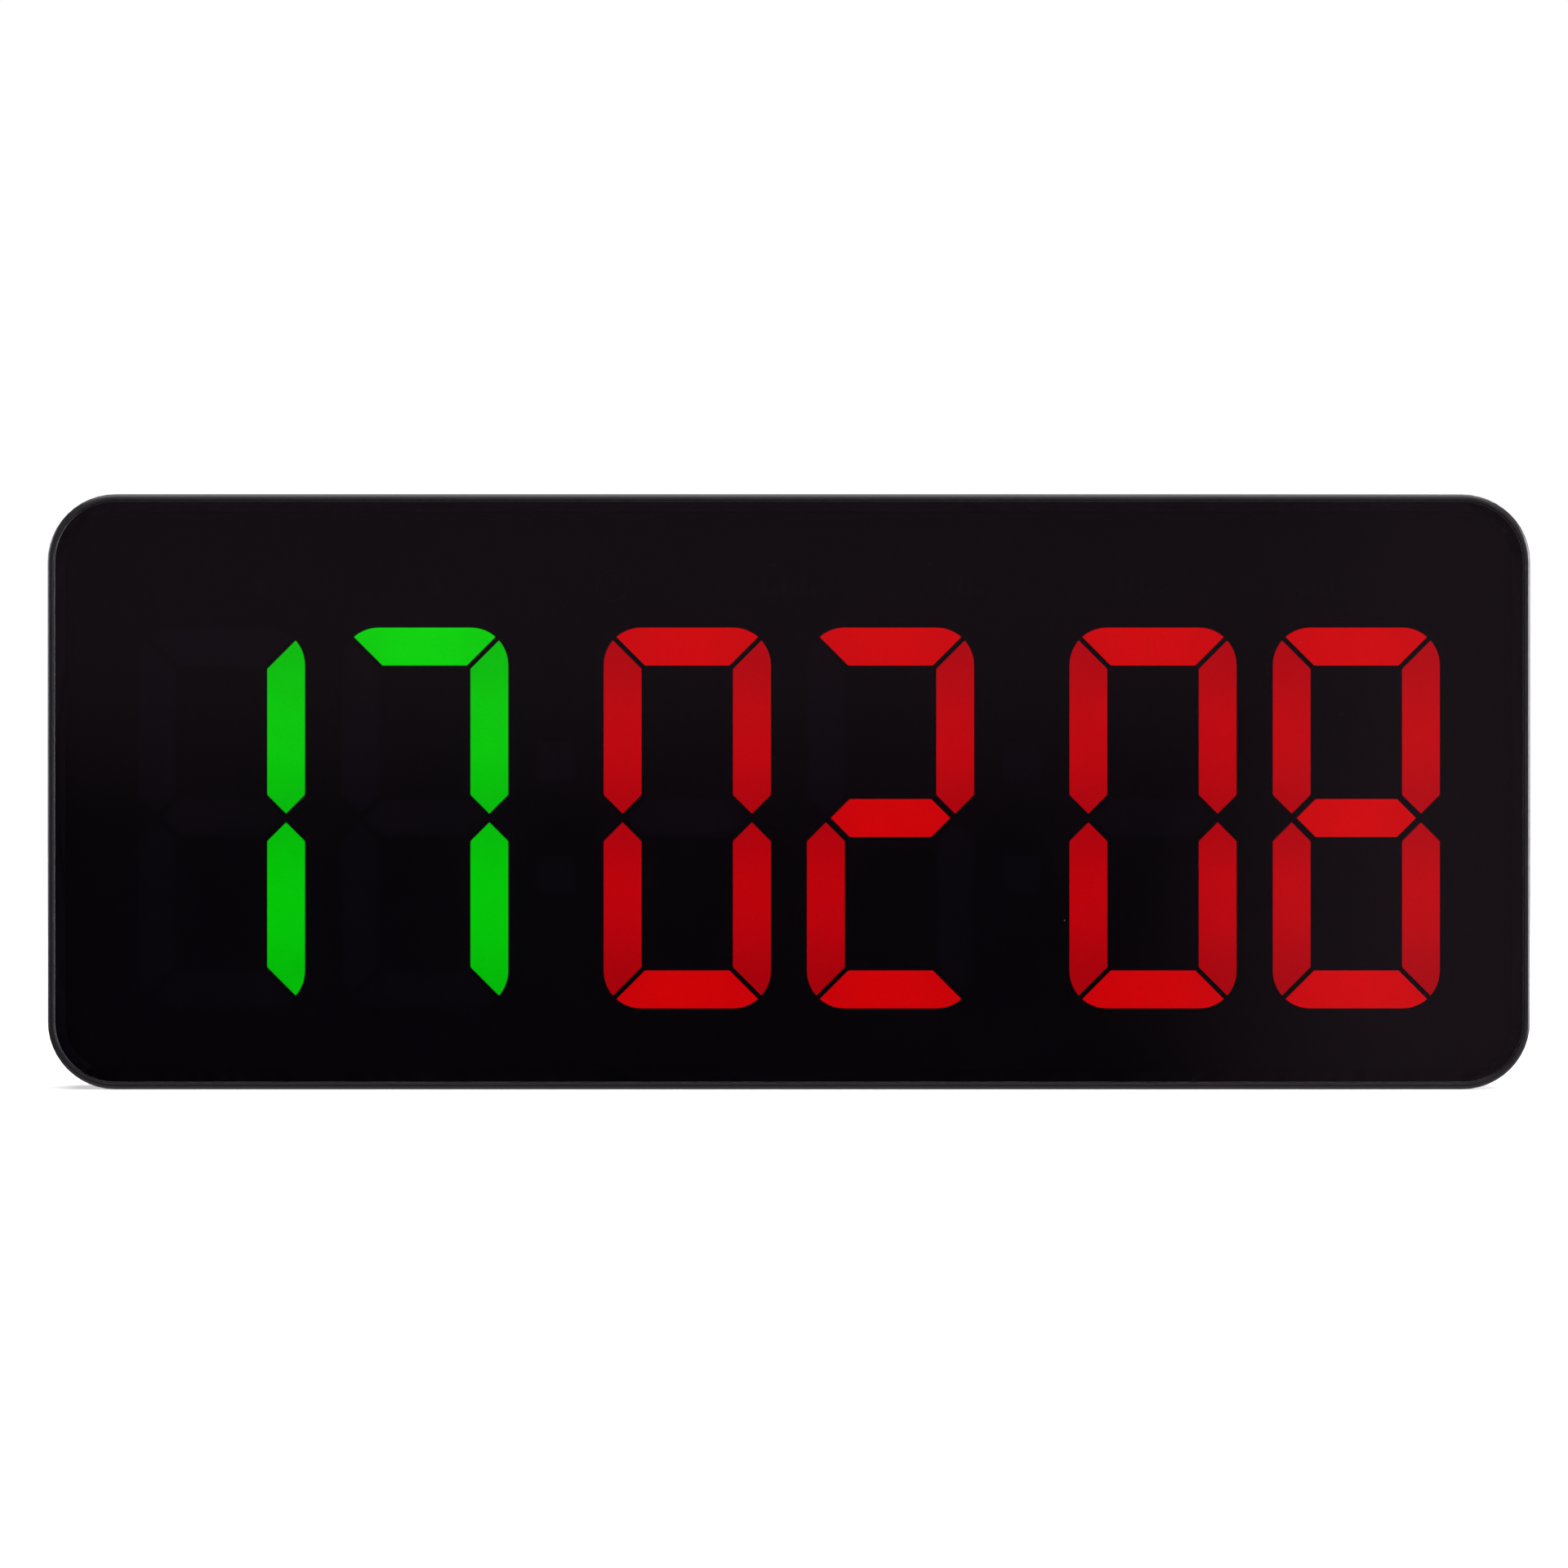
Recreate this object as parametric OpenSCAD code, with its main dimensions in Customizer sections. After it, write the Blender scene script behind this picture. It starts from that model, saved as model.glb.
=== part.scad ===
// Gym round timer: a slim six-digit interval timer with a smoked front, a built-in battery, push
// buttons on the back, two keyholes for wall screws and two feet that fold out of the back.
// Millimetres. +Z is up, the display faces -Y, and the origin is the middle of the base.
// Left and right are as seen from the front.

/* [Body] */
// Width of the housing
body_w = 394.6; // [392:0.2:410]
// Height of the housing
body_h = 158.4; // [157:0.2:170]
// Depth from the front lip to the back face of the rear cover
housing_d = 28; // [28:0.5:34]
// Radius of the housing's corners, seen from the front
corner_r = 18; // [15:0.5:22]
// Thickness of the housing's side walls
wall = 2; // [1.9:0.1:2.4]
// Width of the lip that shows around the front lens
lip_w = 1.6; // [1.2:0.1:1.8]
// Rounding of the lip's outer edge
lip_round = 1.1; // [0.4:0.1:1.1]
// Width of the ledge that the lens is taped to
ledge_w = 3.2; // [2.4:0.1:4]
// Thickness of the ledge
ledge_t = 1.2; // [0.8:0.1:1.6]
// Thickness of the rear cover
cover_t = 2.4; // [2.4:0.1:3]
// Rounding of the rear cover's back edge
cover_round = 1.6; // [0.5:0.1:2]
// Height of the rubber bumpers on the back
bumper_t = 2; // [1.5:0.1:3]

/* [Front] */
// Thickness of the smoked lens
lens_t = 3; // [2:0.1:4]
// Depth of the lens below the lip
lens_recess = 0.1; // [0.1:0.1:0.6]
// Width of the polished bevel around the lens
lens_bevel = 0.4; // [0.2:0.1:0.8]
// Space between the lens and the lip
lens_gap = 0.1; // [0.1:0.05:0.3]
// Thickness of the tape behind the lens
tape_t = 0.5; // [0.3:0.1:0.8]
// Thickness of the black mask sheet
mask_t = 0.5; // [0.3:0.1:0.8]

/* [Digits] */
// Width of a digit
digit_w = 44.6; // [42:0.1:46]
// Height of a digit
digit_h = 101.6; // [96:0.1:104]
// Width of a segment
stroke = 10.1; // [9:0.1:11]
// Space between neighbouring segments at a digit's corners
segment_gap = 1.3; // [1.2:0.1:2]
// Space between the points of an upper and a lower upright segment
upright_gap = 2.3; // [1.8:0.1:3]
// Space between the middle segment and the uprights
middle_gap = 1.75; // [1.5:0.05:2.2]
// Radius of a digit's outer corners
digit_corner_r = 10; // [6:0.5:12]
// Distance between the two digits of a pair
digit_pitch = 54.25; // [52:0.25:56]
// Distance between pairs of digits
pair_pitch = 124.3; // [122:0.1:126]
// Distance of the digits' middle below the housing's middle
digit_drop = 7; // [5:0.1:7.5]

/* [Colons and mode icons] */
// Side of a colon's square
colon_size = 10.4; // [8:0.1:12]
// Distance of each colon square from the digits' middle
colon_offset = 15.2; // [12:0.1:18]
// Distance between mode icons
icon_pitch = 47; // [42:0.5:48]
// Height of the icons above the housing's middle
icon_rise = 54.9; // [54:0.1:56]
// Height of an icon
icon_h = 4.8; // [4:0.1:5.2]

/* [Light box] */
// Depth of the light box
light_box_d = 7; // [6.5:0.1:8]
// Thickness of the diffusing inserts
insert_t = 1.2; // [0.8:0.1:1.6]
// Amount by which an insert is larger than its window, on each side
insert_lap = 0.3; // [0.2:0.05:0.35]
// Space around an insert in its pocket
insert_gap = 0.1; // [0.05:0.05:0.15]

/* [Circuit boards] */
// Thickness of the circuit boards
board_t = 1.6; // [1.2:0.1:1.6]
// Width of the LED board
led_board_w = 368; // [366:1:370]
// Height of the LED board
led_board_h = 139; // [138:0.5:139]
// Width of the control board
control_board_w = 124; // [120:1:128]
// Height of the control board
control_board_h = 46; // [44:1:48]
// Side of the square charging board
charge_board_w = 38; // [37:0.5:39]

/* [Buttons] */
// Radius of a button
button_r = 4.5; // [3.5:0.1:5]
// Distance between buttons
button_pitch = 22; // [20:0.5:22]
// Height of the buttons above the base
button_z = 128; // [127:0.5:129]
// Distance that a button stands out of the back
button_proud = 1; // [0.5:0.1:1.4]
// Travel of a button
button_travel = 0.5; // [0.3:0.1:0.5]

/* [Feet] */
// Distance of each foot from the middle
foot_x = 120; // [118:1:130]
// Width of a foot
foot_w = 16; // [12:0.5:16]
// Length of a foot from its hinge to its tip
foot_len = 58; // [50:1:60]
// Thickness of a foot
foot_t = 5.5; // [5:0.1:6]
// Distance of the hinge in front of the bumpers' plane, and so above the base
hinge_in = 6; // [6:0.1:6.2]
// Radius of the hinge pin
hinge_pin_r = 1.25; // [1:0.05:1.4]
// Length of the finger notch above each foot
finger_notch = 10; // [8:0.5:12]

/* [Wall mounting] */
// Distance between the two keyholes
keyhole_span = 240; // [232:1:250]
// Height of the keyholes' round entries above the base
keyhole_z = 116; // [114:1:118]
// Radius of a keyhole's round entry
keyhole_r = 4.25; // [4:0.05:4.5]
// Half the width of a keyhole's slot
keyhole_slot_r = 2.25; // [2:0.05:2.5]
// Distance from the entry up to the slot's end
keyhole_rise = 9; // [7:0.5:10]

/* [Battery and power] */
// Width of the battery pack
battery_w = 100; // [80:1:110]
// Height of the battery pack
battery_h = 60; // [50:1:60]
// Thickness of the battery pack
battery_t = 7; // [5:0.1:7]
// Tilt of the power rocker to each side of level
rocker_tilt = 8; // [5:1:10]

/* [Hidden] */
$fn = 64;
// Overlap that joins two shapes, and the amount by which a cut passes a face
join = 0.5;

// Depths, from the front to the back
front_y = -(housing_d + bumper_t) / 2;
rear_y = front_y + housing_d;
bumper_y = rear_y + bumper_t;
lens_front = front_y + lens_recess;
lens_back = lens_front + lens_t;
ledge_front = lens_back + tape_t;
ledge_back = ledge_front + ledge_t;
mask_back = ledge_back + mask_t;
box_back = mask_back + light_box_d;
led_board_back = box_back + board_t;
cover_front = rear_y - cover_t;
button_stem_y = cover_front - 1.2;
control_back = button_stem_y - 5.2;
control_front = control_back - board_t;
charge_back = control_back + 1.4;
charge_front = charge_back - board_t;

// Outlines, seen from the front
middle_z = body_h / 2;
lens_inset = lip_w + lens_gap;
ledge_inset = lip_w + ledge_w;
mask_inset = wall + 0.3;
lens_rim_w = 2;
tape_margin = 0.2;
tape_overhang = 0.3;
boss_gap = 0.2;
light_box_w = led_board_w;
light_box_h = 125;
light_box_corner_r = 8;
seam_groove = 0.3;
cover_rim_w = 3;
locating_rib_t = 1.2;
locating_rib_h = 2.2;
locating_rib_gap = 0.25;
socket_rib_notch_w = 12;

// Digits, colons and icons
NUMERALS = ["abcdef", "bc", "abdeg", "abcdg", "bcfg", "acdfg", "acdefg", "abc", "abcdefg", "abcdfg"];
SEGMENTS = "abcdefg";
shown = [1, 7, 0, 2, 0, 8];
pair_x = [-pair_pitch, 0, pair_pitch];
digit_x = [for (x = pair_x, side = [-1, 1]) x + side * digit_pitch / 2];
colon_x = [-pair_pitch / 2, pair_pitch / 2];
icon_x = [for (n = [-3:3]) n * icon_pitch];
icon_stroke = 1.2;
clock_icon_r = 4.5;
clock_icon_band = 0.9;
icon_bridge = 0.7;
insert_pocket_d = insert_t + 0.1;
icon_strip_w = 6 * icon_pitch + 26;
icon_strip_h = 11;
icon_well_r = 4;

// Light-emitting diodes
led_w = 3.5;
led_h = 2.8;
led_t = 1;
led_spread_x = 6.5;
led_spread_z = 10;
receiver_w = 7;
receiver_h = 6;
receiver_t = 5.4;
receiver_drop = 45;

// Screws
cover_screw_r = 1.2;
cover_screw_head_r = 2.5;
cover_screw_head_t = 1.3;
cover_screw_head_gap = 0.2;
cover_screw_len = 10;
cover_screw_hole_r = 1.4;
cover_screw_seat = rear_y - cover_screw_head_t - 0.1;
cover_screw_cross = 2.8;
board_screw_r = 0.9;
board_screw_head_r = 1.9;
board_screw_head_t = 1.1;
board_screw_len = 5;
board_screw_cross = 2.2;
cross_slot_w = 0.5;
board_hole_r = 1.15;
pilot_clearance = 0.05;
board_pilot_r = board_screw_r + pilot_clearance;
charge_pilot_d = board_screw_len - 1;
boss_r = 3.2;
boss_lap = 0.6;
boss_web_w = 4.4;
edge_boss_x = 62;
corner_boss = (corner_r - wall - boss_r + boss_lap) / sqrt(2);
corner_spots = [for (sx = [-1, 1], sz = [-1, 1])
    [sx * (body_w / 2 - corner_r + corner_boss), middle_z + sz * (body_h / 2 - corner_r + corner_boss)]];
edge_spots = [for (sx = [-1, 1], sz = [-1, 1])
    [sx * edge_boss_x, middle_z + sz * (body_h / 2 - wall - boss_r + boss_lap)]];
cover_screw_spots = concat(corner_spots, edge_spots);

// Tabs in the frame that the LED board is screwed to
tab_w = 10;
tab_in = 63.5;
tab_x = [-130, 0, 130];
tab_screw_z = 66.8;
tab_spots = [for (x = tab_x, side = [-1, 1]) [x, middle_z + side * tab_screw_z]];

// Control board
control_z = 123;
control_post_r = 2.6;
control_spots = [for (sx = [-1, 1], z = [control_z - 13, control_z + 17])
    [sx * (control_board_w / 2 - 6), z]];
button_x = [for (n = [-2:2]) n * button_pitch];
switch_w = 6;
switch_t = 3.5;
plunger_r = 1.7;
plunger_depth = 0.9;
plunger_slack = 0.05;
button_flange_r = button_r + 1.3;
button_hole_r = button_r + 0.3;
button_bevel = 0.4;
button_mark_depth = 0.3;
button_stem_len = 0.9;
button_flange_play = 0.2;
button_mark_half = 1.7;
button_mark_bar = [3.74, 0.7];
plunger_floor_gap = 0.1;
microcontroller_spot = [0, 110];
crystal_spot = [-15, 110];
coin_spot = [-36, 113];
coin_r = 10;
coin_t = 3.2;
coin_floor_t = 0.6;
buzzer_spot = [30, 110];
buzzer_r = 6;
buzzer_t = 5.4;
driver_chip_x = [-90, 0, 90];
driver_chip_z = 90;
driver_chip_size = [18, 7.5];
driver_chip_t = 1.9;
microcontroller_size = [10, 8];
small_chip_t = 1.5;
charge_chip_size = [5, 4];

// Power switch
rocker_spot = [-165, 45];
rocker_pivot_y = rear_y - 1.5;
rocker_w = 6.6;
rocker_half = 5.4;
rocker_pin_r = 1;
rocker_cavity = [7, 12.4];
rocker_body = [9.6, 14.8];
rocker_bezel = [11.6, 16.8];
rocker_bezel_t = 1.2;
rocker_body_d = 10.5;
rocker_body_front = rear_y - rocker_body_d;
switch_tab_t = 0.6;
switch_tab_w = 2.4;
rocker_cavity_d = 6;
rocker_slot = 0.2;

// Charging board and socket
charge_spot = [172, 41];
charge_post_spots = [[187, 26], [187, 56]];
charge_post_r = 2.4;
socket_w = 8.94;
socket_t = 3.2;
socket_metal_t = 0.3;
socket_len = 10.5;
socket_z = charge_spot.y;
socket_y = charge_back + socket_t / 2;
socket_mouth_x = body_w / 2 - 0.4;
socket_clearance = 0.25;
socket_depth = 7;
socket_tongue = [0.7, 6.7];
socket_tongue_setback = 0.8;

// Battery and its lead
battery_z = 14 + battery_h / 2;
battery_front = led_board_back + 2.4;
battery_back = battery_front + battery_t;
lead_r = 0.7;
lead_y = battery_front + 1.1;
battery_lead_z = [24, 26.4];
charge_edge_x = charge_spot.x - charge_board_w / 2;
battery_plug_w = 7;
battery_plug_x = charge_edge_x + 2;
switch_lead_z = [42.5, 47.5];
switch_tab_len = 5;

// Lead from the charging board to the control board
power_lead_y = 1.5;
power_lead_r = 0.6;
power_bend = [charge_edge_x + 1, 98];
power_bend_r = [4.4, 6.6];
power_plug_spot = [43.5, power_bend.y + 5.5];
power_plug_size = [7, 6];
charge_plug_spot = [power_bend.x + 5.5, 52.5];
charge_plug_size = [7, 7];

// Ribbon between the LED board and the control board
ribbon_z = 120;
ribbon_w = 10;
ribbon_t = 0.8;
header_w = 5;
header_h = 14;
led_header_x = 78.5;
control_header_x = control_board_w / 2 - 3;
led_header_back = led_board_back + 3.5;
control_header_back = control_back + 3.4;
ribbon_back = control_back + 2.1;

// Feet
hinge_y = bumper_y - hinge_in;
hinge_z = hinge_in;
foot_face_y = rear_y - 0.5;
foot_knuckle_r = foot_face_y - hinge_y - 0.2;
foot_pin_clearance = 0.05;
foot_gap = 0.4;
pocket_wall = 1.8;
pocket_back_wall = 1.4;
pocket_bottom = wall + 0.1;
pocket_top = hinge_z + foot_len + finger_notch;
pocket_floor = hinge_y - foot_knuckle_r - 0.5;
pocket_w = foot_w + 2 * foot_gap;
foot_pad_w = 11;
foot_pad_len = 13;
foot_pad_corner_r = 3;
foot_pad_sink = 0.8;
foot_pad_z = hinge_z + foot_len - 10;
foot_scoop_r = 4;
foot_scoop = [foot_face_y - foot_t - 2.2, hinge_z + foot_len + 0.6];

// Back of the rear cover
bumper_spots = [[-176, 138], [176, 138]];
bumper_r = 6.5;
vent_x = [-165, 165];
vent_z = 100;
vent_pitch = 5;
vent_w = 1.8;
vent_len = 16;
grille_ring_r = 3.2;
grille_hole_r = 0.8;
label_spot = [0, 48];
label_size = [72, 34];
label_corner_r = 2.5;
label_depth = 0.4;
keyhole_pocket_w = 10.4;
keyhole_pocket_wall = 1.3;
keyhole_pocket_d = 3.3;

// Stands a drawing of the front view up: its x is +X, its y is +Z from mid height, and its z
// points to the front
module upright() {
    translate([0, 0, middle_z]) rotate([90, 0, 0]) children();
}

// A front-view outline, solid from one depth to another
module slab(front, back) {
    upright() translate([0, 0, -back]) linear_extrude(back - front) children();
}

// A side-view outline of depth and height, extruded along X about x
module side_slab(x, width) {
    translate([x, 0, 0]) rotate([90, 0, 90]) linear_extrude(width, center = true) children();
}

// A round bar along Y at a spot of x and height
module post(spot, front, back, r) {
    translate([spot.x, back, spot.y]) rotate([90, 0, 0]) cylinder(h = back - front, r = r);
}

// A block at a spot of x and height, with its width and height
module block(spot, size, front, back) {
    translate([spot.x - size.x / 2, front, spot.y - size.y / 2]) cube([size.x, back - front, size.y]);
}

// A rectangle with true round corners
module rounded_rect(w, h, r) {
    square([w - 2 * r, h], center = true);
    square([w, h - 2 * r], center = true);
    for (sx = [-1, 1], sy = [-1, 1]) translate([sx * (w / 2 - r), sy * (h / 2 - r)]) circle(r);
}

// The housing's outline moved in by an inset
module body_outline(inset) {
    rounded_rect(body_w - 2 * inset, body_h - 2 * inset, corner_r - inset);
}

// A quarter of a disc, that rounds the outer corner of a wall's section
module quarter_round(r) {
    intersection() {
        circle(r);
        square(r);
    }
}

// Sweeps a wall's section around the housing's outline. The section's x is the distance from the
// centre of a corner's arc, and its y points to the front.
module rim() {
    for (quarter = [0:3]) {
        across = quarter % 2 == 0 ? body_w : body_h;
        along = quarter % 2 == 0 ? body_h : body_w;
        rotate([0, 0, 90 * quarter]) translate([across / 2 - corner_r, 0, 0]) {
            rotate([90, 0, 0]) linear_extrude(along - 2 * corner_r, center = true) children();
            translate([0, along / 2 - corner_r, 0]) rotate_extrude(angle = 90) children();
        }
    }
}

// ---- Front frame, lens, tape and mask ----

module frame_section() {
    polygon([
        [corner_r, -cover_front],
        [corner_r, -(front_y + lip_round)],
        [corner_r - lip_round, -front_y],
        [corner_r - lip_w, -front_y],
        [corner_r - lip_w, -ledge_front],
        [corner_r - ledge_inset, -ledge_front],
        [corner_r - ledge_inset, -ledge_back],
        [corner_r - wall, -ledge_back],
        [corner_r - wall, -cover_front]
    ]);
    translate([corner_r - lip_round, -(front_y + lip_round)]) quarter_round(lip_round);
}

// A screw boss that runs into the wall behind it
module boss(spot, direction) {
    base = mask_back + boss_gap;
    post(spot, base, cover_front, boss_r);
    translate([spot.x, 0, spot.y]) rotate([0, -direction, 0])
        translate([boss_r / 2, base, -boss_web_w / 2])
            cube([boss_r / 2, cover_front - base, boss_web_w]);
}

module frame_bosses() {
    for (spot = corner_spots) boss(spot, atan2(sign(spot.y - middle_z), sign(spot.x)));
    for (spot = edge_spots) boss(spot, 90 * sign(spot.y - middle_z));
}

module frame_tabs() {
    tab_len = body_h / 2 - wall + join - tab_in;
    for (x = tab_x, side = [-1, 1])
        block([x, middle_z + side * (tab_in + tab_len / 2)], [tab_w, tab_len],
            mask_back + boss_gap, box_back);
}

module socket_outline(grow) {
    r = socket_t / 2 + grow;
    square([2 * r, socket_w - socket_t], center = true);
    for (side = [-1, 1]) translate([0, side * (socket_w - socket_t) / 2]) circle(r);
}

module front_frame() {
    color("#1d1b1e") difference() {
        union() {
            upright() rim() frame_section();
            frame_bosses();
            frame_tabs();
        }
        for (spot = cover_screw_spots)
            post(spot, cover_front - cover_screw_len, cover_front + join, cover_screw_r + pilot_clearance);
        for (spot = tab_spots)
            post(spot, box_back - board_screw_len, box_back + join, board_pilot_r);
        side_slab(body_w / 2, 4 * wall)
            translate([socket_y, socket_z]) socket_outline(socket_clearance);
    }
}

module lens_section() {
    r = corner_r - lens_inset;
    polygon([
        [r, -lens_back],
        [r, -(lens_front + lens_bevel)],
        [r - lens_bevel, -lens_front],
        [r - lens_rim_w, -lens_front],
        [r - lens_rim_w, -lens_back]
    ]);
}

module front_lens() {
    color("#141216") union() {
        upright() rim() lens_section();
        slab(lens_front, lens_back) body_outline(lens_inset + lens_rim_w - join);
    }
}

module lens_tape() {
    color("#101010") slab(lens_back, ledge_front) difference() {
        body_outline(lens_inset + tape_margin);
        body_outline(ledge_inset - tape_overhang);
    }
}

// ---- Digits, colons and icons ----

// Outline of one segment with its lines moved out by grow: a is the top, b and c the right
// uprights, d the bottom, e and f the left uprights, g the middle
module segment(name, grow) {
    w = digit_w / 2 + grow;
    h = digit_h / 2 + grow;
    t = stroke + 2 * grow;
    mitre = (segment_gap / 2 - grow) * sqrt(2);
    tip = upright_gap / 2 - grow * sqrt(2);
    middle_tip = (digit_w - stroke + upright_gap) / 2 - (middle_gap - grow) * sqrt(2);
    bar = [[mitre - w, h], [w - mitre, h], [w - t - mitre, h - t], [t + mitre - w, h - t]];
    side = [[w, h - mitre], [w, tip + t / 2], [w - t / 2, tip], [w - t, tip + t / 2],
        [w - t, h - t - mitre]];
    if (name == "a") polygon(bar);
    if (name == "d") mirror([0, 1]) polygon(bar);
    if (name == "b") polygon(side);
    if (name == "c") mirror([0, 1]) polygon(side);
    if (name == "f") mirror([1, 0]) polygon(side);
    if (name == "e") mirror([1, 0]) mirror([0, 1]) polygon(side);
    if (name == "g") polygon([[-middle_tip, 0], [t / 2 - middle_tip, t / 2], [middle_tip - t / 2, t / 2],
        [middle_tip, 0], [middle_tip - t / 2, -t / 2], [t / 2 - middle_tip, -t / 2]]);
}

// The named segments of the digit in a place from 0 to 5
module digit(place, names, grow) {
    translate([digit_x[place], -digit_drop]) intersection() {
        rounded_rect(digit_w + 2 * grow, digit_h + 2 * grow, digit_corner_r + grow);
        union() {
            for (name = names) segment(name, grow);
        }
    }
}

function letters(text) = [for (n = [0:len(text) - 1]) text[n]];
function lit_names(place) = letters(NUMERALS[shown[place]]);
function unlit_names(place) = [for (name = letters(SEGMENTS))
    if (len([for (lit = lit_names(place)) if (lit == name) lit]) == 0) name];

module all_segments(grow) {
    for (place = [0:5]) digit(place, letters(SEGMENTS), grow);
}

module colon_squares(grow) {
    for (x = colon_x, side = [-1, 1])
        translate([x, side * colon_offset - digit_drop]) square(colon_size + 2 * grow, center = true);
}

module arrow_icon() {
    polygon([[-icon_h / 2, 0], [0, icon_h / 2], [icon_h / 2, 0]]);
    translate([-icon_stroke / 2, -icon_h / 2]) square([icon_stroke, icon_h / 2 + join]);
}

// A clock face: a ring with two bridges that hold its middle, and two hands
module clock_icon() {
    difference() {
        circle(clock_icon_r);
        circle(clock_icon_r - clock_icon_band);
        rotate([0, 0, 45]) square([3 * clock_icon_r, icon_bridge], center = true);
    }
    square([icon_stroke, clock_icon_r - 1.8 * clock_icon_band]);
    square([clock_icon_r - 2.2 * clock_icon_band, icon_stroke]);
}

// A row of bars whose heights are given as shares of an icon's height
module bars_icon(shares) {
    bar_pitch = 2.6;
    bar_w = 1.6;
    for (n = [0:len(shares) - 1])
        translate([(n - (len(shares) - 1) / 2) * bar_pitch - bar_w / 2, -icon_h / 2])
            square([bar_w, icon_h * shares[n]]);
}

module mode_icons() {
    translate([0, icon_rise]) {
        translate([icon_x[0], 0]) arrow_icon();
        translate([icon_x[1], 0]) rotate([0, 0, 180]) arrow_icon();
        translate([icon_x[2], 0]) clock_icon();
        translate([icon_x[3], 0]) bars_icon([1, 0.45, 1, 0.45, 1, 0.45]);
        translate([icon_x[4], 0]) bars_icon([1, 1, 1, 0.35]);
        translate([icon_x[5], 0]) bars_icon([1, 1, 1, 0.35, 0.35]);
        translate([icon_x[6], 0]) bars_icon([0.3, 0.55, 0.8, 1]);
    }
}

module icon_strip(grow) {
    translate([0, icon_rise]) square([icon_strip_w + 2 * grow, icon_strip_h + 2 * grow], center = true);
}

module segment_mask() {
    color("#0b0a0c") slab(ledge_back, mask_back) difference() {
        body_outline(mask_inset);
        all_segments(0);
        colon_squares(0);
        mode_icons();
    }
}

module receiver_hole() {
    translate([colon_x[1], -receiver_drop]) square([receiver_w + 1, receiver_h + 1], center = true);
}

// The light box has a shallow pocket for each insert and a straight well behind it
module light_box() {
    pocket = insert_lap + insert_gap;
    color("#e8e6e0") union() {
        slab(mask_back, mask_back + insert_pocket_d) difference() {
            rounded_rect(light_box_w, light_box_h, light_box_corner_r);
            all_segments(pocket);
            colon_squares(pocket);
            icon_strip(insert_gap);
            receiver_hole();
        }
        slab(mask_back + insert_pocket_d, box_back) difference() {
            rounded_rect(light_box_w, light_box_h, light_box_corner_r);
            all_segments(0);
            colon_squares(0);
            for (x = icon_x) translate([x, icon_rise]) circle(icon_well_r);
            receiver_hole();
        }
    }
}

module lit_segments(number) {
    lit_color = number <= 2 ? "#02ce0a" : "#c20105";
    color(lit_color) slab(mask_back, mask_back + insert_t)
        digit(number - 1, lit_names(number - 1), insert_lap);
}

module unlit_segments(number) {
    color("#2b2730") slab(mask_back, mask_back + insert_t)
        digit(number - 1, unlit_names(number - 1), insert_lap);
}

module colon_inserts() {
    color("#2b2730") slab(mask_back, mask_back + insert_t) colon_squares(insert_lap);
}

module icon_diffuser() {
    color("#2b2730") slab(mask_back, mask_back + insert_t) icon_strip(0);
}

// ---- LED board ----

// Two diodes behind each of a digit's seven segments
function digit_led_spots(place) = concat(
    [for (row = [-1:1], side = [-1, 1]) [
        digit_x[place] + side * led_spread_x,
        middle_z - digit_drop + row * (digit_h - stroke) / 2]],
    [for (sx = [-1, 1], sz = [-1, 1], side = [-1, 1]) [
        digit_x[place] + sx * (digit_w - stroke) / 2,
        middle_z - digit_drop + sz * digit_h / 4 + side * led_spread_z]]);

module diodes(spots) {
    for (spot = spots) block(spot, [led_w, led_h], box_back - led_t, box_back);
}

module led_board() {
    color("#14402a") difference() {
        slab(box_back, led_board_back) rounded_rect(led_board_w, led_board_h, light_box_corner_r);
        for (spot = tab_spots) post(spot, box_back - join, led_board_back + join, board_hole_r);
    }
}

module green_leds() {
    color("#d9e8c8") diodes([for (place = [0, 1]) each digit_led_spots(place)]);
}

module red_leds() {
    colon_spots = [for (x = colon_x, side = [-1, 1]) [x, middle_z - digit_drop + side * colon_offset]];
    icon_spots = [for (x = icon_x) [x, middle_z + icon_rise]];
    color("#ecd8c8") diodes([
        for (place = [2:5]) each digit_led_spots(place),
        each colon_spots,
        each icon_spots]);
}

// Infrared receiver with a round lens that looks to the front
module remote_receiver() {
    spot = [colon_x[1], middle_z - receiver_drop];
    lens_r = 2.2;
    lens_tip_r = 1.6;
    lens_h = 1;
    body_front = box_back - receiver_t + lens_h;
    color("#221f26") union() {
        block(spot, [receiver_w, receiver_h], body_front, box_back);
        translate([spot.x, body_front, spot.y]) rotate([90, 0, 0])
            cylinder(h = lens_h, r1 = lens_r, r2 = lens_tip_r);
    }
}

// A flat chip with a row of legs on two long sides, standing on a face towards the back
module chip(spot, size, face, thickness, legs) {
    leg_w = 0.5;
    leg_reach = 1.2;
    leg_lap = 0.4;
    leg_t = 0.4;
    standoff = 0.2;
    leg_pitch = size.x / (legs + 1);
    block(spot, size, face + standoff, face + thickness);
    for (n = [1:legs], side = [-1, 1])
        block([spot.x - size.x / 2 + n * leg_pitch, spot.y + side * (size.y + leg_reach) / 2],
            [leg_w, leg_reach + leg_lap], face, face + leg_t);
}

module driver_chips() {
    color("#1a1a1a") for (x = driver_chip_x)
        chip([x, driver_chip_z], driver_chip_size, led_board_back, driver_chip_t, 10);
}

// ---- Control board ----

module control_board() {
    color("#14402a") difference() {
        block([0, control_z], [control_board_w, control_board_h], control_front, control_back);
        for (spot = control_spots) post(spot, control_front - join, control_back + join, board_hole_r);
    }
}

module microcontroller() {
    color("#1a1a1a") chip(microcontroller_spot, microcontroller_size, control_back, small_chip_t, 8);
}

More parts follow.
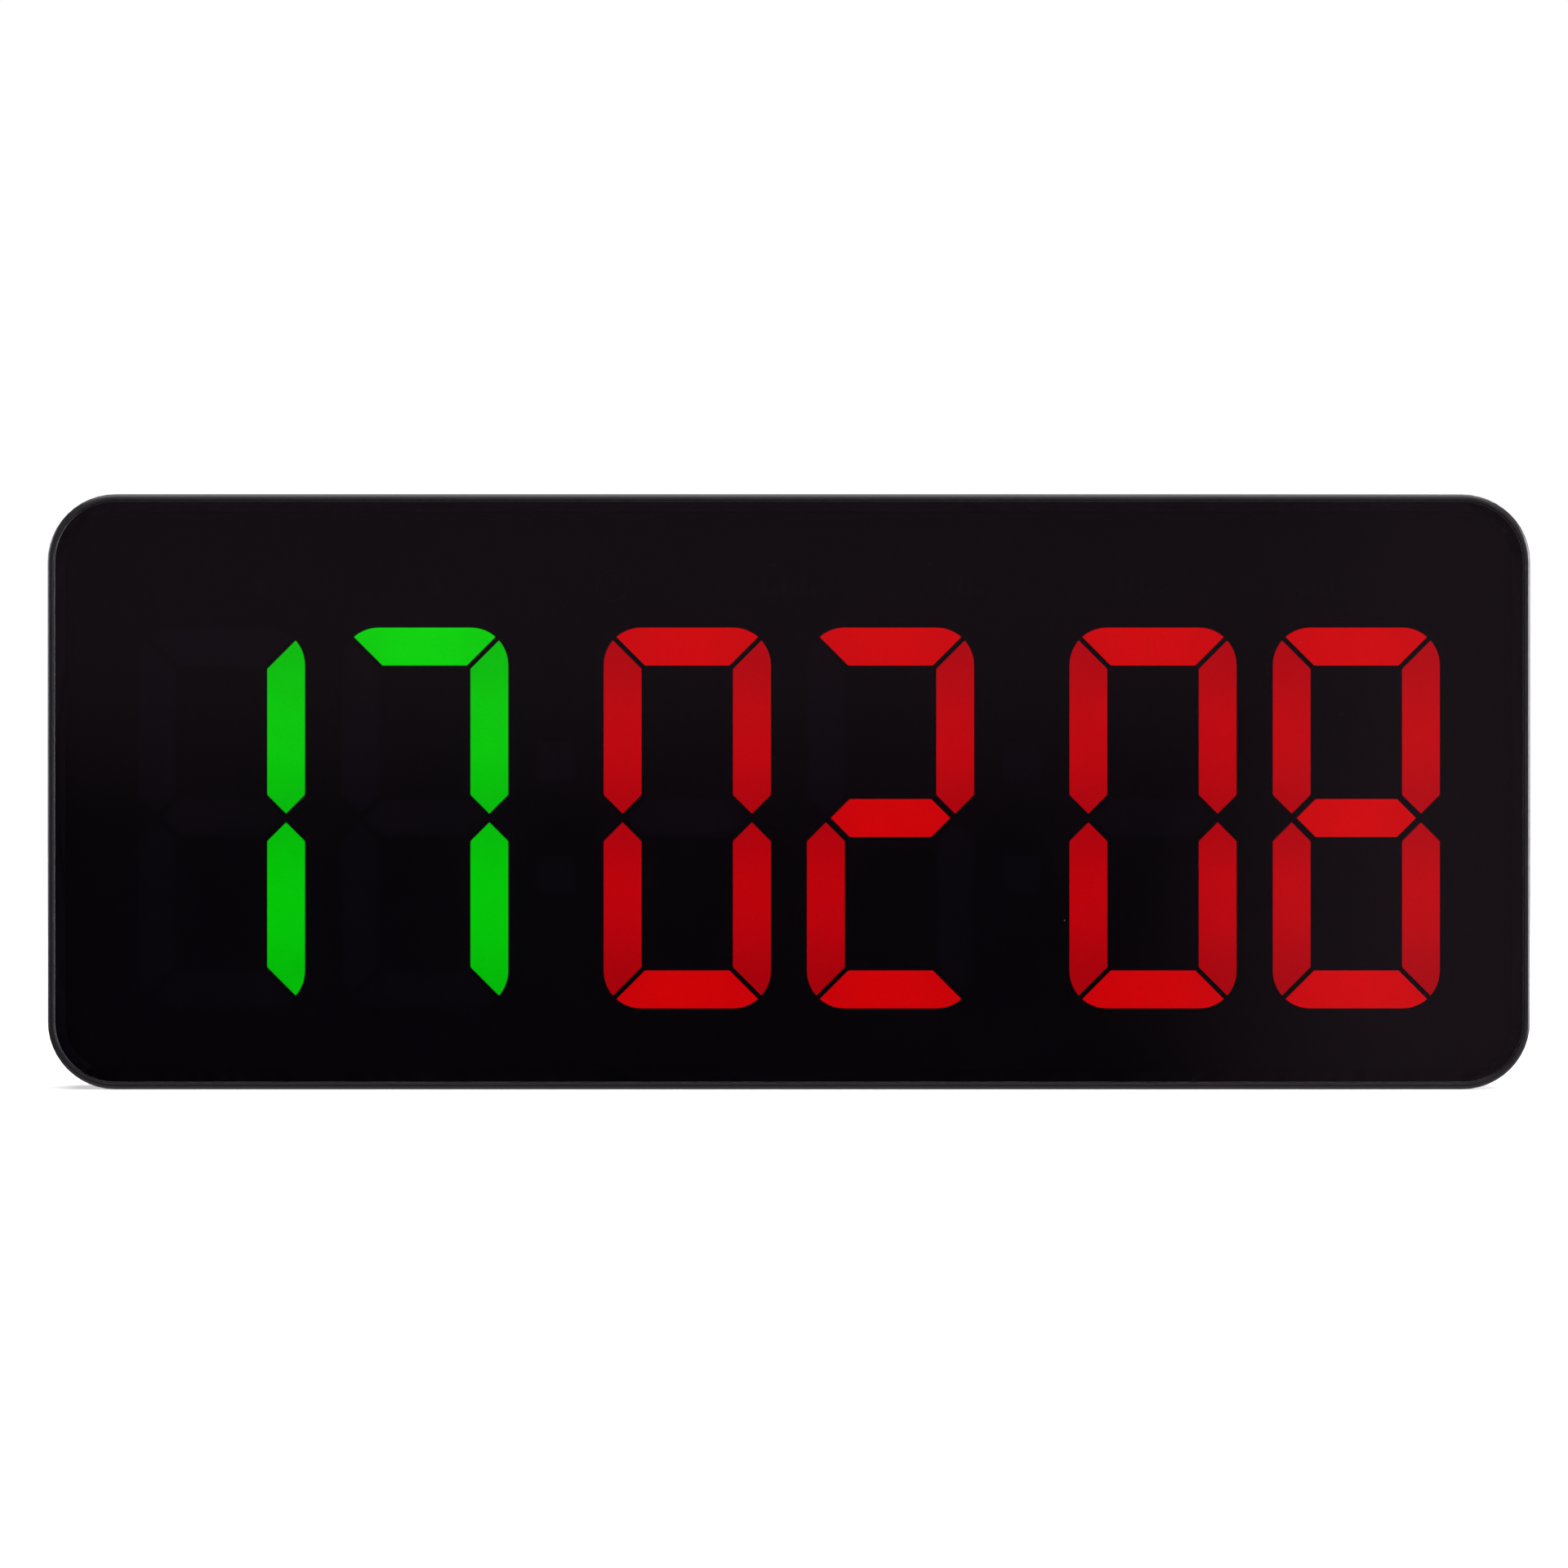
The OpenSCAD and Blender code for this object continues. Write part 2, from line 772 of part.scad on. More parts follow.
module clock_crystal() {
    can = [8, 3.2];
    can_back = control_back + 2.2;
    color("#c9ccd0") union() {
        block(crystal_spot, can, control_back, can_back);
        for (side = [-1, 1]) post(crystal_spot + [side * can.x / 2, 0], control_back, can_back, can.y / 2);
    }
}

module coin_cell_holder() {
    holder_wall = 1.3;
    holder_lip = 0.3;
    holder_slack = 0.15;
    holder_floor = control_back + coin_floor_t;
    color("#26242a") difference() {
        post(coin_spot, control_back, holder_floor + coin_t + holder_lip, coin_r + holder_wall);
        post(coin_spot, holder_floor, holder_floor + 3 * coin_t, coin_r + holder_slack);
    }
}

module coin_cell() {
    rim_step = 0.6;
    contact_in = 1.2;
    base = control_back + coin_floor_t;
    color("#c9ccd0") union() {
        post(coin_spot, base + rim_step, base + coin_t, coin_r);
        post(coin_spot, base, base + coin_t, coin_r - contact_in);
    }
}

module buzzer() {
    sound_hole_r = 1.2;
    sound_hole_d = 1.5;
    color("#1c1a1e") difference() {
        post(buzzer_spot, control_back, control_back + buzzer_t, buzzer_r);
        post(buzzer_spot, control_back + buzzer_t - sound_hole_d, control_back + buzzer_t + join,
            sound_hole_r);
    }
}

// Bodies of the five small switches behind the buttons
module switch_bodies() {
    color("#2a282c") for (x = button_x) difference() {
        block([x, button_z], [switch_w, switch_w], control_back, control_back + switch_t);
        post([x, button_z], control_back + switch_t - plunger_depth - button_travel - plunger_floor_gap,
            control_back + switch_t + join, plunger_r + plunger_slack);
    }
}

module plunger(index) {
    spot = [button_x[index], button_z];
    color("#b9b2a4") post(spot, control_back + switch_t - plunger_depth,
        button_stem_y - button_stem_len, plunger_r);
}

// Marks cut into the buttons, drawn as they look from the front, so mirrored from behind
module button_mark(index) {
    size = button_mark_half;
    if (index == 0) polygon([[size, -size], [size, size], [-size, 0]]);
    if (index == 1) square(2 * size, center = true);
    if (index == 2) for (row = [-1:1]) translate([0, row * size]) square(button_mark_bar, center = true);
    if (index == 3) polygon([[-size, -size], [size, -size], [0, size]]);
    if (index == 4) polygon([[-size, size], [size, size], [0, -size]]);
}

module button(index) {
    spot = [button_x[index], button_z];
    top = rear_y + button_proud;
    color("#242227") difference() {
        union() {
            post(spot, button_stem_y - button_stem_len, cover_front - button_flange_play, plunger_r);
            post(spot, button_stem_y, cover_front - button_flange_play, button_flange_r);
            post(spot, button_stem_y, top - button_bevel, button_r);
            translate([spot.x, top, spot.y]) rotate([90, 0, 0])
                cylinder(h = button_bevel, r1 = button_r - button_bevel, r2 = button_r);
        }
        slab(top - button_mark_depth, top + join)
            translate([spot.x, spot.y - middle_z]) button_mark(index);
    }
}

// ---- Power switch ----

module power_switch_body() {
    color("#201e22") difference() {
        union() {
            block(rocker_spot, rocker_body, rocker_body_front, rear_y + join);
            block(rocker_spot, rocker_bezel, rear_y, rear_y + rocker_bezel_t);
            for (z = switch_lead_z)
                block([rocker_spot.x + (rocker_body.x + switch_tab_len) / 2 - join / 2, z],
                    [switch_tab_len + join, switch_tab_w],
                    rocker_body_front, rocker_body_front + switch_tab_t);
        }
        block(rocker_spot, rocker_cavity, rocker_pivot_y - rocker_cavity_d, rear_y + 2 * rocker_bezel_t);
        side_slab(rocker_spot.x, rocker_body.x + join)
            translate([rocker_pivot_y, rocker_spot.y]) circle(rocker_pin_r + pilot_clearance);
    }
}

// The rocker lies pressed down at its lower end, which is on
module power_rocker() {
    dip = 1.4;
    crown = 2.2;
    keel = 4;
    color("#17151a") side_slab(rocker_spot.x, rocker_w)
        translate([rocker_pivot_y, rocker_spot.y]) rotate([0, 0, rocker_tilt]) polygon([
            [crown, -rocker_half], [dip, 0], [crown, rocker_half],
            [-keel / 2, rocker_half - 1], [-keel, 0], [-keel / 2, 1 - rocker_half]]);
    color("#17151a") side_slab(rocker_spot.x, rocker_body.x - rocker_slot)
        translate([rocker_pivot_y, rocker_spot.y]) circle(rocker_pin_r);
}

// ---- Charging board, battery, leads ----

module charge_board() {
    color("#14402a") difference() {
        block(charge_spot, [charge_board_w, charge_board_w], charge_front, charge_back);
        for (spot = charge_post_spots) post(spot, charge_front - join, charge_back + join, board_hole_r);
    }
}

module charge_chip() {
    color("#1a1a1a") chip(charge_spot - [8, 0], charge_chip_size, charge_back, small_chip_t, 4);
}

// The charging socket: a steel tube with oval ends, closed at the back, with a contact tongue
module charge_socket() {
    back_x = socket_mouth_x - socket_len;
    floor_x = socket_mouth_x - socket_depth;
    tongue_x = socket_mouth_x - socket_tongue_setback;
    color("#b9bcc2") union() {
        difference() {
            side_slab(back_x + socket_len / 2, socket_len)
                translate([socket_y, socket_z]) socket_outline(0);
            side_slab(floor_x + socket_len / 2, socket_len)
                translate([socket_y, socket_z]) socket_outline(-socket_metal_t);
        }
        side_slab((floor_x - join + tongue_x) / 2, tongue_x - floor_x + join)
            translate([socket_y, socket_z]) square(socket_tongue, center = true);
    }
}

module battery_pack() {
    fold = [battery_w - 8, 3];
    fold_in = 1.5;
    color("#b7bcc2") union() {
        block([0, battery_z], [battery_w, battery_h], battery_front, battery_back);
        block([0, battery_z + (battery_h + fold.y) / 2 - join], fold,
            battery_front + fold_in, battery_back - fold_in);
    }
}

module battery_pads() {
    pad = [14, battery_h - 12];
    pad_x = 0.35 * battery_w;
    color("#6d6f74") for (side = [-1, 1])
        block([side * pad_x, battery_z], pad, battery_back, cover_front);
}

// Plugs and headers on the three boards
module board_plugs() {
    battery_plug_h = 8;
    battery_plug_d = 2.8;
    lead_plug_front = 0.2;
    color("#e9e4d4") {
        block([battery_plug_x + battery_plug_w / 2, (battery_lead_z[0] + battery_lead_z[1]) / 2],
            [battery_plug_w, battery_plug_h], charge_front - battery_plug_d, charge_front);
        block(charge_plug_spot, charge_plug_size, lead_plug_front, charge_front);
        block(power_plug_spot, power_plug_size, lead_plug_front, control_front);
        block([led_header_x, ribbon_z], [header_w, header_h], led_board_back, led_header_back);
        block([control_header_x, ribbon_z], [header_w, header_h], control_back, control_header_back);
    }
}

module ribbon_cable() {
    start_x = control_header_x + header_w / 2;
    end_x = led_header_x + ribbon_t / 2;
    color("#8d8f96") translate([0, 0, ribbon_z - ribbon_w / 2]) linear_extrude(ribbon_w) {
        translate([start_x, ribbon_back - ribbon_t]) square([end_x - start_x, ribbon_t]);
        translate([end_x - ribbon_t, led_header_back]) square([ribbon_t, ribbon_back - led_header_back]);
    }
}

// A straight wire along X
module wire_x(from, to, y, z, r) {
    translate([from, y, z]) rotate([0, 90, 0]) cylinder(h = to - from, r = r);
}

// A wire that leaves the charging board upwards, bends and runs to the control board
module power_wire(bend_r) {
    x = power_bend.x + bend_r;
    z = power_bend.y + bend_r;
    plug_top = charge_plug_spot.y + charge_plug_size.y / 2;
    plug_right = power_plug_spot.x + power_plug_size.x / 2;
    translate([x, power_lead_y, plug_top]) cylinder(h = power_bend.y - plug_top, r = power_lead_r);
    translate([power_bend.x, power_lead_y, power_bend.y]) rotate([90, 0, 0])
        rotate_extrude(angle = 90) translate([bend_r, 0]) circle(power_lead_r);
    wire_x(plug_right, power_bend.x, power_lead_y, z, power_lead_r);
}

module leads() {
    tab_end = rocker_spot.x + rocker_body.x / 2 + switch_tab_len;
    tab_middle = rocker_body_front + switch_tab_t / 2;
    color("#8a1a1c") {
        for (z = battery_lead_z) wire_x(battery_w / 2, battery_plug_x, lead_y, z, lead_r);
        for (z = switch_lead_z) wire_x(tab_end, -battery_w / 2, tab_middle, z, lead_r);
        for (bend_r = power_bend_r) power_wire(bend_r);
    }
}

// ---- Rear cover ----

module cover_section() {
    polygon([
        [corner_r - cover_rim_w, -cover_front],
        [corner_r - seam_groove, -cover_front],
        [corner_r, -(cover_front + seam_groove)],
        [corner_r, -(rear_y - cover_round)],
        [corner_r - cover_round, -rear_y],
        [corner_r - cover_rim_w, -rear_y]
    ]);
    translate([corner_r - cover_round, -(rear_y - cover_round)])
        mirror([0, 1]) quarter_round(cover_round);
}

// The rib that centres the cover inside the frame, cut away at the bosses and the feet
module locating_rib() {
    rib_inset = wall + locating_rib_gap;
    difference() {
        slab(cover_front - locating_rib_h, cover_front + join) difference() {
            body_outline(rib_inset);
            body_outline(rib_inset + locating_rib_t);
        }
        for (spot = cover_screw_spots)
            block(spot, [4 * boss_r, 4 * boss_r], cover_front - 2 * locating_rib_h, cover_front);
        block([socket_mouth_x, socket_z], [4 * wall, socket_rib_notch_w],
            cover_front - 2 * locating_rib_h, cover_front);
    }
}

// A foot's pocket: a box behind the cover, open below against the frame's bottom wall
module foot_pocket(x) {
    height = pocket_top + pocket_wall - pocket_bottom;
    block([x, pocket_bottom + height / 2], [pocket_w + 2 * pocket_wall, height],
        pocket_floor - pocket_back_wall, cover_front + join);
}

module foot_pocket_space(x) {
    height = pocket_top - wall;
    block([x, wall + height / 2], [pocket_w, height], pocket_floor, rear_y + join);
}

module keyhole_pocket(x) {
    height = 2 * keyhole_r + keyhole_rise + 2 * keyhole_pocket_wall + 2;
    block([x, keyhole_z + keyhole_rise / 2], [keyhole_pocket_w + 2 * keyhole_pocket_wall, height],
        cover_front - keyhole_pocket_d - keyhole_pocket_wall, cover_front + join);
}

module keyhole_space(x) {
    height = 2 * keyhole_r + keyhole_rise + 2;
    entry = [x, keyhole_z];
    slot_end = [x, keyhole_z + keyhole_rise];
    block([x, keyhole_z + keyhole_rise / 2], [keyhole_pocket_w, height],
        cover_front - keyhole_pocket_d, cover_front);
    post(entry, cover_front - join, rear_y + join, keyhole_r);
    post(slot_end, cover_front - join, rear_y + join, keyhole_slot_r);
    block([x, keyhole_z + keyhole_rise / 2], [2 * keyhole_slot_r, keyhole_rise],
        cover_front - join, rear_y + join);
}

module buzzer_grille() {
    post(buzzer_spot, cover_front - join, rear_y + join, grille_hole_r);
    for (angle = [0:60:300])
        post(buzzer_spot + grille_ring_r * [cos(angle), sin(angle)],
            cover_front - join, rear_y + join, grille_hole_r);
}

module vent_slots(x) {
    for (n = [-2.5:2.5]) {
        spot = [x + n * vent_pitch, vent_z];
        block(spot, [vent_w, vent_len], cover_front - join, rear_y + join);
        for (side = [-1, 1])
            post(spot + [0, side * vent_len / 2], cover_front - join, rear_y + join, vent_w / 2);
    }
}

module rear_cover() {
    color("#1f1d21") difference() {
        union() {
            upright() rim() cover_section();
            slab(cover_front, rear_y) body_outline(cover_rim_w - join);
            locating_rib();
            for (side = [-1, 1]) {
                foot_pocket(side * foot_x);
                keyhole_pocket(side * keyhole_span / 2);
            }
            for (spot = control_spots) post(spot, control_back, cover_front + join, control_post_r);
            for (spot = charge_post_spots) post(spot, charge_back, cover_front + join, charge_post_r);
        }
        for (side = [-1, 1]) {
            foot_pocket_space(side * foot_x);
            keyhole_space(side * keyhole_span / 2);
            side_slab(side * foot_x, pocket_w + 2 * pocket_wall + join)
                translate([hinge_y, hinge_z]) circle(hinge_pin_r);
        }
        for (spot = cover_screw_spots) {
            post(spot, cover_front - join, rear_y + join, cover_screw_hole_r);
            post(spot, cover_screw_seat, rear_y + join, cover_screw_head_r + cover_screw_head_gap);
        }
        for (spot = control_spots)
            post(spot, control_back - join, control_back + board_screw_len, board_pilot_r);
        for (spot = charge_post_spots)
            post(spot, charge_back - join, charge_back + charge_pilot_d, board_pilot_r);
        for (x = button_x) post([x, button_z], cover_front - join, rear_y + join, button_hole_r);
        for (x = vent_x) vent_slots(x);
        block(rocker_spot, rocker_body + [0.2, 0.2], cover_front - join, rear_y + join);
        slab(rear_y - label_depth, rear_y + join)
            translate([label_spot.x, label_spot.y - middle_z])
                rounded_rect(label_size.x, label_size.y, label_corner_r);
        buzzer_grille();
    }
}

// ---- Screws ----

// A cross-head screw whose head's underside lies at a depth; toward is 1 for a head at the back
module screw(spot, seat, toward, r, head_r, head_t, length, cross) {
    shank_end = seat - toward * length;
    head_end = seat + toward * head_t;
    difference() {
        union() {
            post(spot, min(shank_end, seat), max(shank_end, seat), r);
            post(spot, min(seat, head_end), max(seat, head_end), head_r);
        }
        for (size = [[cross, cross_slot_w], [cross_slot_w, cross]])
            block(spot, size, min(head_end, head_end - toward * head_t / 2) - (toward < 0 ? join : 0),
                max(head_end, head_end - toward * head_t / 2) + (toward > 0 ? join : 0));
    }
}

module cover_screws() {
    color("#8f9297") for (spot = cover_screw_spots)
        screw(spot, cover_screw_seat, 1, cover_screw_r, cover_screw_head_r, cover_screw_head_t,
            cover_screw_len, cover_screw_cross);
}

module board_screws() {
    color("#8f9297") {
        for (spot = tab_spots)
            screw(spot, led_board_back, 1, board_screw_r, board_screw_head_r, board_screw_head_t,
                board_screw_len, board_screw_cross);
        for (spot = control_spots)
            screw(spot, control_front, -1, board_screw_r, board_screw_head_r, board_screw_head_t,
                board_screw_len, board_screw_cross);
        for (spot = charge_post_spots)
            screw(spot, charge_front, -1, board_screw_r, board_screw_head_r, board_screw_head_t,
                board_screw_len, board_screw_cross);
    }
}

// ---- Feet ----

// A foot stored upright in its pocket
module foot(x) {
    tip_z = hinge_z + foot_len;
    tip_r = 1.5;
    color("#232126") difference() {
        side_slab(x, foot_w) difference() {
            union() {
                translate([hinge_y, hinge_z]) circle(foot_knuckle_r);
                translate([foot_face_y - foot_t, hinge_z]) square([foot_t, foot_len - tip_r]);
                translate([foot_face_y - foot_t + tip_r, hinge_z]) square([foot_t - 2 * tip_r, foot_len]);
                for (side = [tip_r, foot_t - tip_r])
                    translate([foot_face_y - foot_t + side, tip_z - tip_r]) circle(tip_r);
            }
            translate([hinge_y, hinge_z]) circle(hinge_pin_r + foot_pin_clearance);
            translate(foot_scoop) circle(foot_scoop_r);
        }
        slab(foot_face_y - foot_pad_sink, foot_face_y + join)
            translate([x, foot_pad_z - middle_z]) rounded_rect(foot_pad_w, foot_pad_len, foot_pad_corner_r);
    }
}

module foot_pad(x) {
    color("#2c2b2d") slab(foot_face_y - foot_pad_sink, bumper_y)
        translate([x, foot_pad_z - middle_z]) rounded_rect(foot_pad_w, foot_pad_len, foot_pad_corner_r);
}

module hinge_pins() {
    color("#c4c7cc") for (side = [-1, 1])
        side_slab(side * foot_x, pocket_w + 2 * pocket_wall)
            translate([hinge_y, hinge_z]) circle(hinge_pin_r);
}

module rear_bumpers() {
    edge = 0.5;
    color("#2c2b2d") for (spot = bumper_spots) {
        post(spot, rear_y, bumper_y - edge, bumper_r);
        translate([spot.x, bumper_y, spot.y]) rotate([90, 0, 0])
            cylinder(h = edge, r1 = bumper_r - edge, r2 = bumper_r);
    }
}

front_frame();
front_lens();
lens_tape();
segment_mask();
light_box();
lit_segments(1);  // digit_1_lit
lit_segments(2);  // digit_2_lit
lit_segments(3);  // digit_3_lit
lit_segments(4);  // digit_4_lit
lit_segments(5);  // digit_5_lit
lit_segments(6);  // digit_6_lit
unlit_segments(1);  // digit_1_unlit
unlit_segments(2);  // digit_2_unlit
unlit_segments(3);  // digit_3_unlit
unlit_segments(4);  // digit_4_unlit
unlit_segments(5);  // digit_5_unlit
colon_inserts();
icon_diffuser();
led_board();
green_leds();
red_leds();
remote_receiver();
driver_chips();
control_board();
microcontroller();
clock_crystal();
coin_cell_holder();
coin_cell();
buzzer();
switch_bodies();
button(0);  // start_button
button(1);  // reset_button
button(2);  // mode_button
button(3);  // up_button
button(4);  // down_button
plunger(0);  // start_plunger
plunger(1);  // reset_plunger
plunger(2);  // mode_plunger
plunger(3);  // up_plunger
plunger(4);  // down_plunger
power_switch_body();
power_rocker();
charge_board();
charge_chip();
charge_socket();
battery_pack();
battery_pads();
board_plugs();
ribbon_cable();
leads();
rear_cover();
cover_screws();
board_screws();
foot(-foot_x);  // left_foot
foot(foot_x);  // right_foot
foot_pad(-foot_x);  // left_foot_pad
foot_pad(foot_x);  // right_foot_pad
hinge_pins();
rear_bumpers();
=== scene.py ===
import math

import bmesh
import bpy
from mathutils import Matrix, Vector


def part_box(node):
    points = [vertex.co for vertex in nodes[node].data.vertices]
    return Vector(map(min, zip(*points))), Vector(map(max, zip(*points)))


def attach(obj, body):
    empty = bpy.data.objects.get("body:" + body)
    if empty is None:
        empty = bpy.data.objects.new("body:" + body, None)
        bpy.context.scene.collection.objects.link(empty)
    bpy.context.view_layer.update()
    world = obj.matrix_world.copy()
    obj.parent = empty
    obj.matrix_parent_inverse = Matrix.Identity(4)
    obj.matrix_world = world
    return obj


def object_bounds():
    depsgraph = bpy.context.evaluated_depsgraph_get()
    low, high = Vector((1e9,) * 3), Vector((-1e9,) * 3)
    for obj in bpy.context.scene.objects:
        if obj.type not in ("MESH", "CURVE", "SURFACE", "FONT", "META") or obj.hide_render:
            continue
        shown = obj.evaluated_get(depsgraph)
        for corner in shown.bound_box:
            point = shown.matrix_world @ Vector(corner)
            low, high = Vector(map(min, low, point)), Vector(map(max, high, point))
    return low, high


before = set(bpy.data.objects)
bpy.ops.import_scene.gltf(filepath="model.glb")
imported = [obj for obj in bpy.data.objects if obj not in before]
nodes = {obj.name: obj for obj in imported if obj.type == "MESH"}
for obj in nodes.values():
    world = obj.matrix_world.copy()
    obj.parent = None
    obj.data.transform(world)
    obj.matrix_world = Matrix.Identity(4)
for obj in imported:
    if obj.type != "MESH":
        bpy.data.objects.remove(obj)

cad_low, cad_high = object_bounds()
MM = 0.001


# ---- Camera ----

VIEW_DISTANCE = 1.6  # from the front lip to the camera
SENSOR_MM = 36.0
FRAME_SHARE = 0.946  # share of the picture's width that the housing takes
CAMERA_OFFSET = (-1.3 * MM, 2.07 * MM)  # right of and above the housing's middle

body_low, body_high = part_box("front_frame")
middle = (body_low + body_high) / 2
camera_data = bpy.data.cameras.new("camera")
camera_data.sensor_width = SENSOR_MM
camera_data.lens = SENSOR_MM * VIEW_DISTANCE * FRAME_SHARE / (body_high.x - body_low.x)
camera = bpy.data.objects.new("camera", camera_data)
camera.location = (
    middle.x + CAMERA_OFFSET[0],
    body_low.y - VIEW_DISTANCE,
    middle.z + CAMERA_OFFSET[1],
)
camera.rotation_euler = (math.pi / 2, 0, 0)
bpy.context.scene.collection.objects.link(camera)
bpy.context.scene.camera = camera


# ---- Node materials ----


class Paint:
    """A material whose Principled shader is fed by procedural textures in the CAD frame."""

    def __init__(self, name, **fixed):
        self.material = bpy.data.materials.new(name)
        self.material.use_nodes = True
        self.tree = self.material.node_tree
        self.tree.nodes.clear()
        self.shader = self.tree.nodes.new("ShaderNodeBsdfPrincipled")
        out = self.tree.nodes.new("ShaderNodeOutputMaterial")
        self.tree.links.new(self.shader.outputs[0], out.inputs["Surface"])
        self.coords = self.tree.nodes.new("ShaderNodeTexCoord").outputs["Object"]
        for socket, value in fixed.items():
            self.put(socket.replace("_", " "), value)

    def wire(self, target, value):
        if isinstance(value, bpy.types.NodeSocket):
            self.tree.links.new(value, target)
        elif isinstance(value, tuple) and len(value) == 3 and target.type == "RGBA":
            target.default_value = (*value, 1.0)
        else:
            target.default_value = value

    def put(self, socket, value):
        """Sets one of the shader's inputs to a constant or to a texture."""
        self.wire(self.shader.inputs[socket], value)

    def node(self, kind, inputs=(), out=0, **settings):
        made = self.tree.nodes.new("ShaderNode" + kind)
        for key, value in settings.items():
            setattr(made, key, value)
        for key, value in dict(inputs).items():
            self.wire(made.inputs[key], value)
        return made.outputs[out]

    def math(self, operation, a, b=0.0):
        return self.node("Math", {0: a, 1: b}, operation=operation)

    def axis(self, index):
        return self.node("SeparateXYZ", {0: self.coords}, out=index)

    def stretched(self, scale):
        """The coordinates, squeezed along each axis by a factor."""
        return self.node("Mapping", {"Vector": self.coords, "Scale": scale})

    def noise(self, size_mm, detail=3.0, coords=None, rough=0.5):
        """Soft noise from 0 to 1 with blobs of about this size."""
        return self.node(
            "TexNoise",
            {
                "Vector": coords or self.coords,
                "Scale": 1 / (size_mm * MM),
                "Detail": detail,
                "Roughness": rough,
            },
            noise_dimensions="3D",
        )

    def cells(self, size_mm, out="Distance"):
        return self.node(
            "TexVoronoi", {"Vector": self.coords, "Scale": 1 / (size_mm * MM)}, out=out
        )

    def ramp(self, value, low, high, to_low=0.0, to_high=1.0, smooth=False):
        return self.node(
            "MapRange",
            {0: value, 1: low, 2: high, 3: to_low, 4: to_high},
            clamp=True,
            interpolation_type="SMOOTHSTEP" if smooth else "LINEAR",
        )

    def mix(self, factor, a, b):
        made = self.tree.nodes.new("ShaderNodeMix")
        made.data_type = "RGBA"
        for index, value in ((0, factor), (6, a), (7, b)):
            self.wire(made.inputs[index], value)
        return made.outputs[2]

    def bump(self, height, depth_mm, strength=1.0, under=None):
        inputs = {"Height": height, "Distance": depth_mm * MM, "Strength": strength}
        if under is not None:
            inputs["Normal"] = under
        return self.node("Bump", inputs)

    def specks(self, cell_mm, radius, share):
        """Sparse round dots: one in a share of the cells, with this radius in cell units."""
        near = self.ramp(self.cells(cell_mm), radius * 0.6, radius, 1.0, 0.0)
        lot = self.node("SeparateColor", {0: self.cells(cell_mm, out="Color")})
        return self.math("MULTIPLY", near, self.math("LESS_THAN", lot, share))

    def scratches(self, length_mm, width_mm, share, turn=0.0):
        """Sparse thin streaks that run along X, turned about Y."""
        turned = self.node("Mapping", {"Vector": self.coords, "Rotation": (0, turn, 0)})
        squeezed = self.node(
            "Mapping", {"Vector": turned, "Scale": (width_mm / length_mm, 1, 1)}
        )
        lines = self.noise(width_mm, 1.0, squeezed)
        return self.ramp(lines, 1 - share, 1 - share * 0.5)


def tinted(colour, factor):
    return tuple(c * factor for c in colour)


DUST_HAZE = (0.30, 0.29, 0.28)
DUST_SPECK = (0.20, 0.195, 0.19)


def moulded(
    name,
    colour,
    rough=0.45,
    spread=0.12,
    grain_mm=0.3,
    grain_depth=0.01,
    rough_spread=0.06,
    dust=0.0,
    scuffs=0.0,
    edge_mm=0.0,
    waves_mm=0.02,
    **fixed,
):
    """Moulded plastic or rubber: grained, uneven in tone and gloss, with dust and scuffs."""
    p = Paint(name, **fixed)
    patches = p.noise(23, 4.0)
    fine = p.noise(1.3, 3.0)
    grain = p.noise(grain_mm, 2.0)
    tone = p.mix(p.ramp(patches, 0.3, 0.7), tinted(colour, 1 - spread), tinted(colour, 1 + spread))
    tone = p.mix(p.ramp(grain, 0.35, 0.75, 0.0, 0.35), tone, tinted(colour, 1 - 2 * spread))
    gloss = p.ramp(fine, 0.3, 0.7, rough - rough_spread, rough + rough_spread)
    if dust:
        haze = p.math("MULTIPLY", p.ramp(p.noise(9, 5.0), 0.5, 0.75), dust)
        tone = p.mix(haze, tone, DUST_HAZE)
        tone = p.mix(p.specks(1.9, 0.05, 0.10), tone, DUST_SPECK)
    if scuffs:
        marks = p.math(
            "MAXIMUM", p.scratches(26, 0.35, 0.33, 0.5), p.scratches(15, 0.3, 0.32, -0.9)
        )
        worn = p.math("MULTIPLY", marks, scuffs)
        tone = p.mix(worn, tone, tuple(c * 1.5 + 0.05 for c in colour))
        gloss = p.math("SUBTRACT", gloss, p.math("MULTIPLY", worn, 0.15))
    p.put("Base Color", tone)
    p.put("Roughness", gloss)
    round_edge = p.node("Bevel", {"Radius": edge_mm * MM}, samples=6) if edge_mm else None
    waves = p.bump(patches, waves_mm, 0.4, under=round_edge)
    p.put("Normal", p.bump(grain, grain_depth, under=waves))
    return p.material


def metal(name, colour, rough, brush=(1, 1, 1), wear=0.0, worn=(0.5, 0.5, 0.51)):
    """Metal with fine brush lines, stains and, where it is plated, wear."""
    p = Paint(name, Metallic=1.0)
    lines = p.noise(0.12, 3.0, p.stretched(brush))
    stains = p.noise(3.5, 4.0)
    tone = p.mix(p.ramp(stains, 0.3, 0.75), tinted(colour, 0.86), tinted(colour, 1.08))
    if wear:
        tone = p.mix(p.math("MULTIPLY", p.ramp(p.noise(0.9, 5.0), 0.55, 0.7), wear), tone, worn)
    p.put("Base Color", tone)
    p.put("Roughness", p.ramp(lines, 0.25, 0.75, rough - 0.07, rough + 0.09))
    p.put("Normal", p.bump(lines, 0.004))
    return p.material


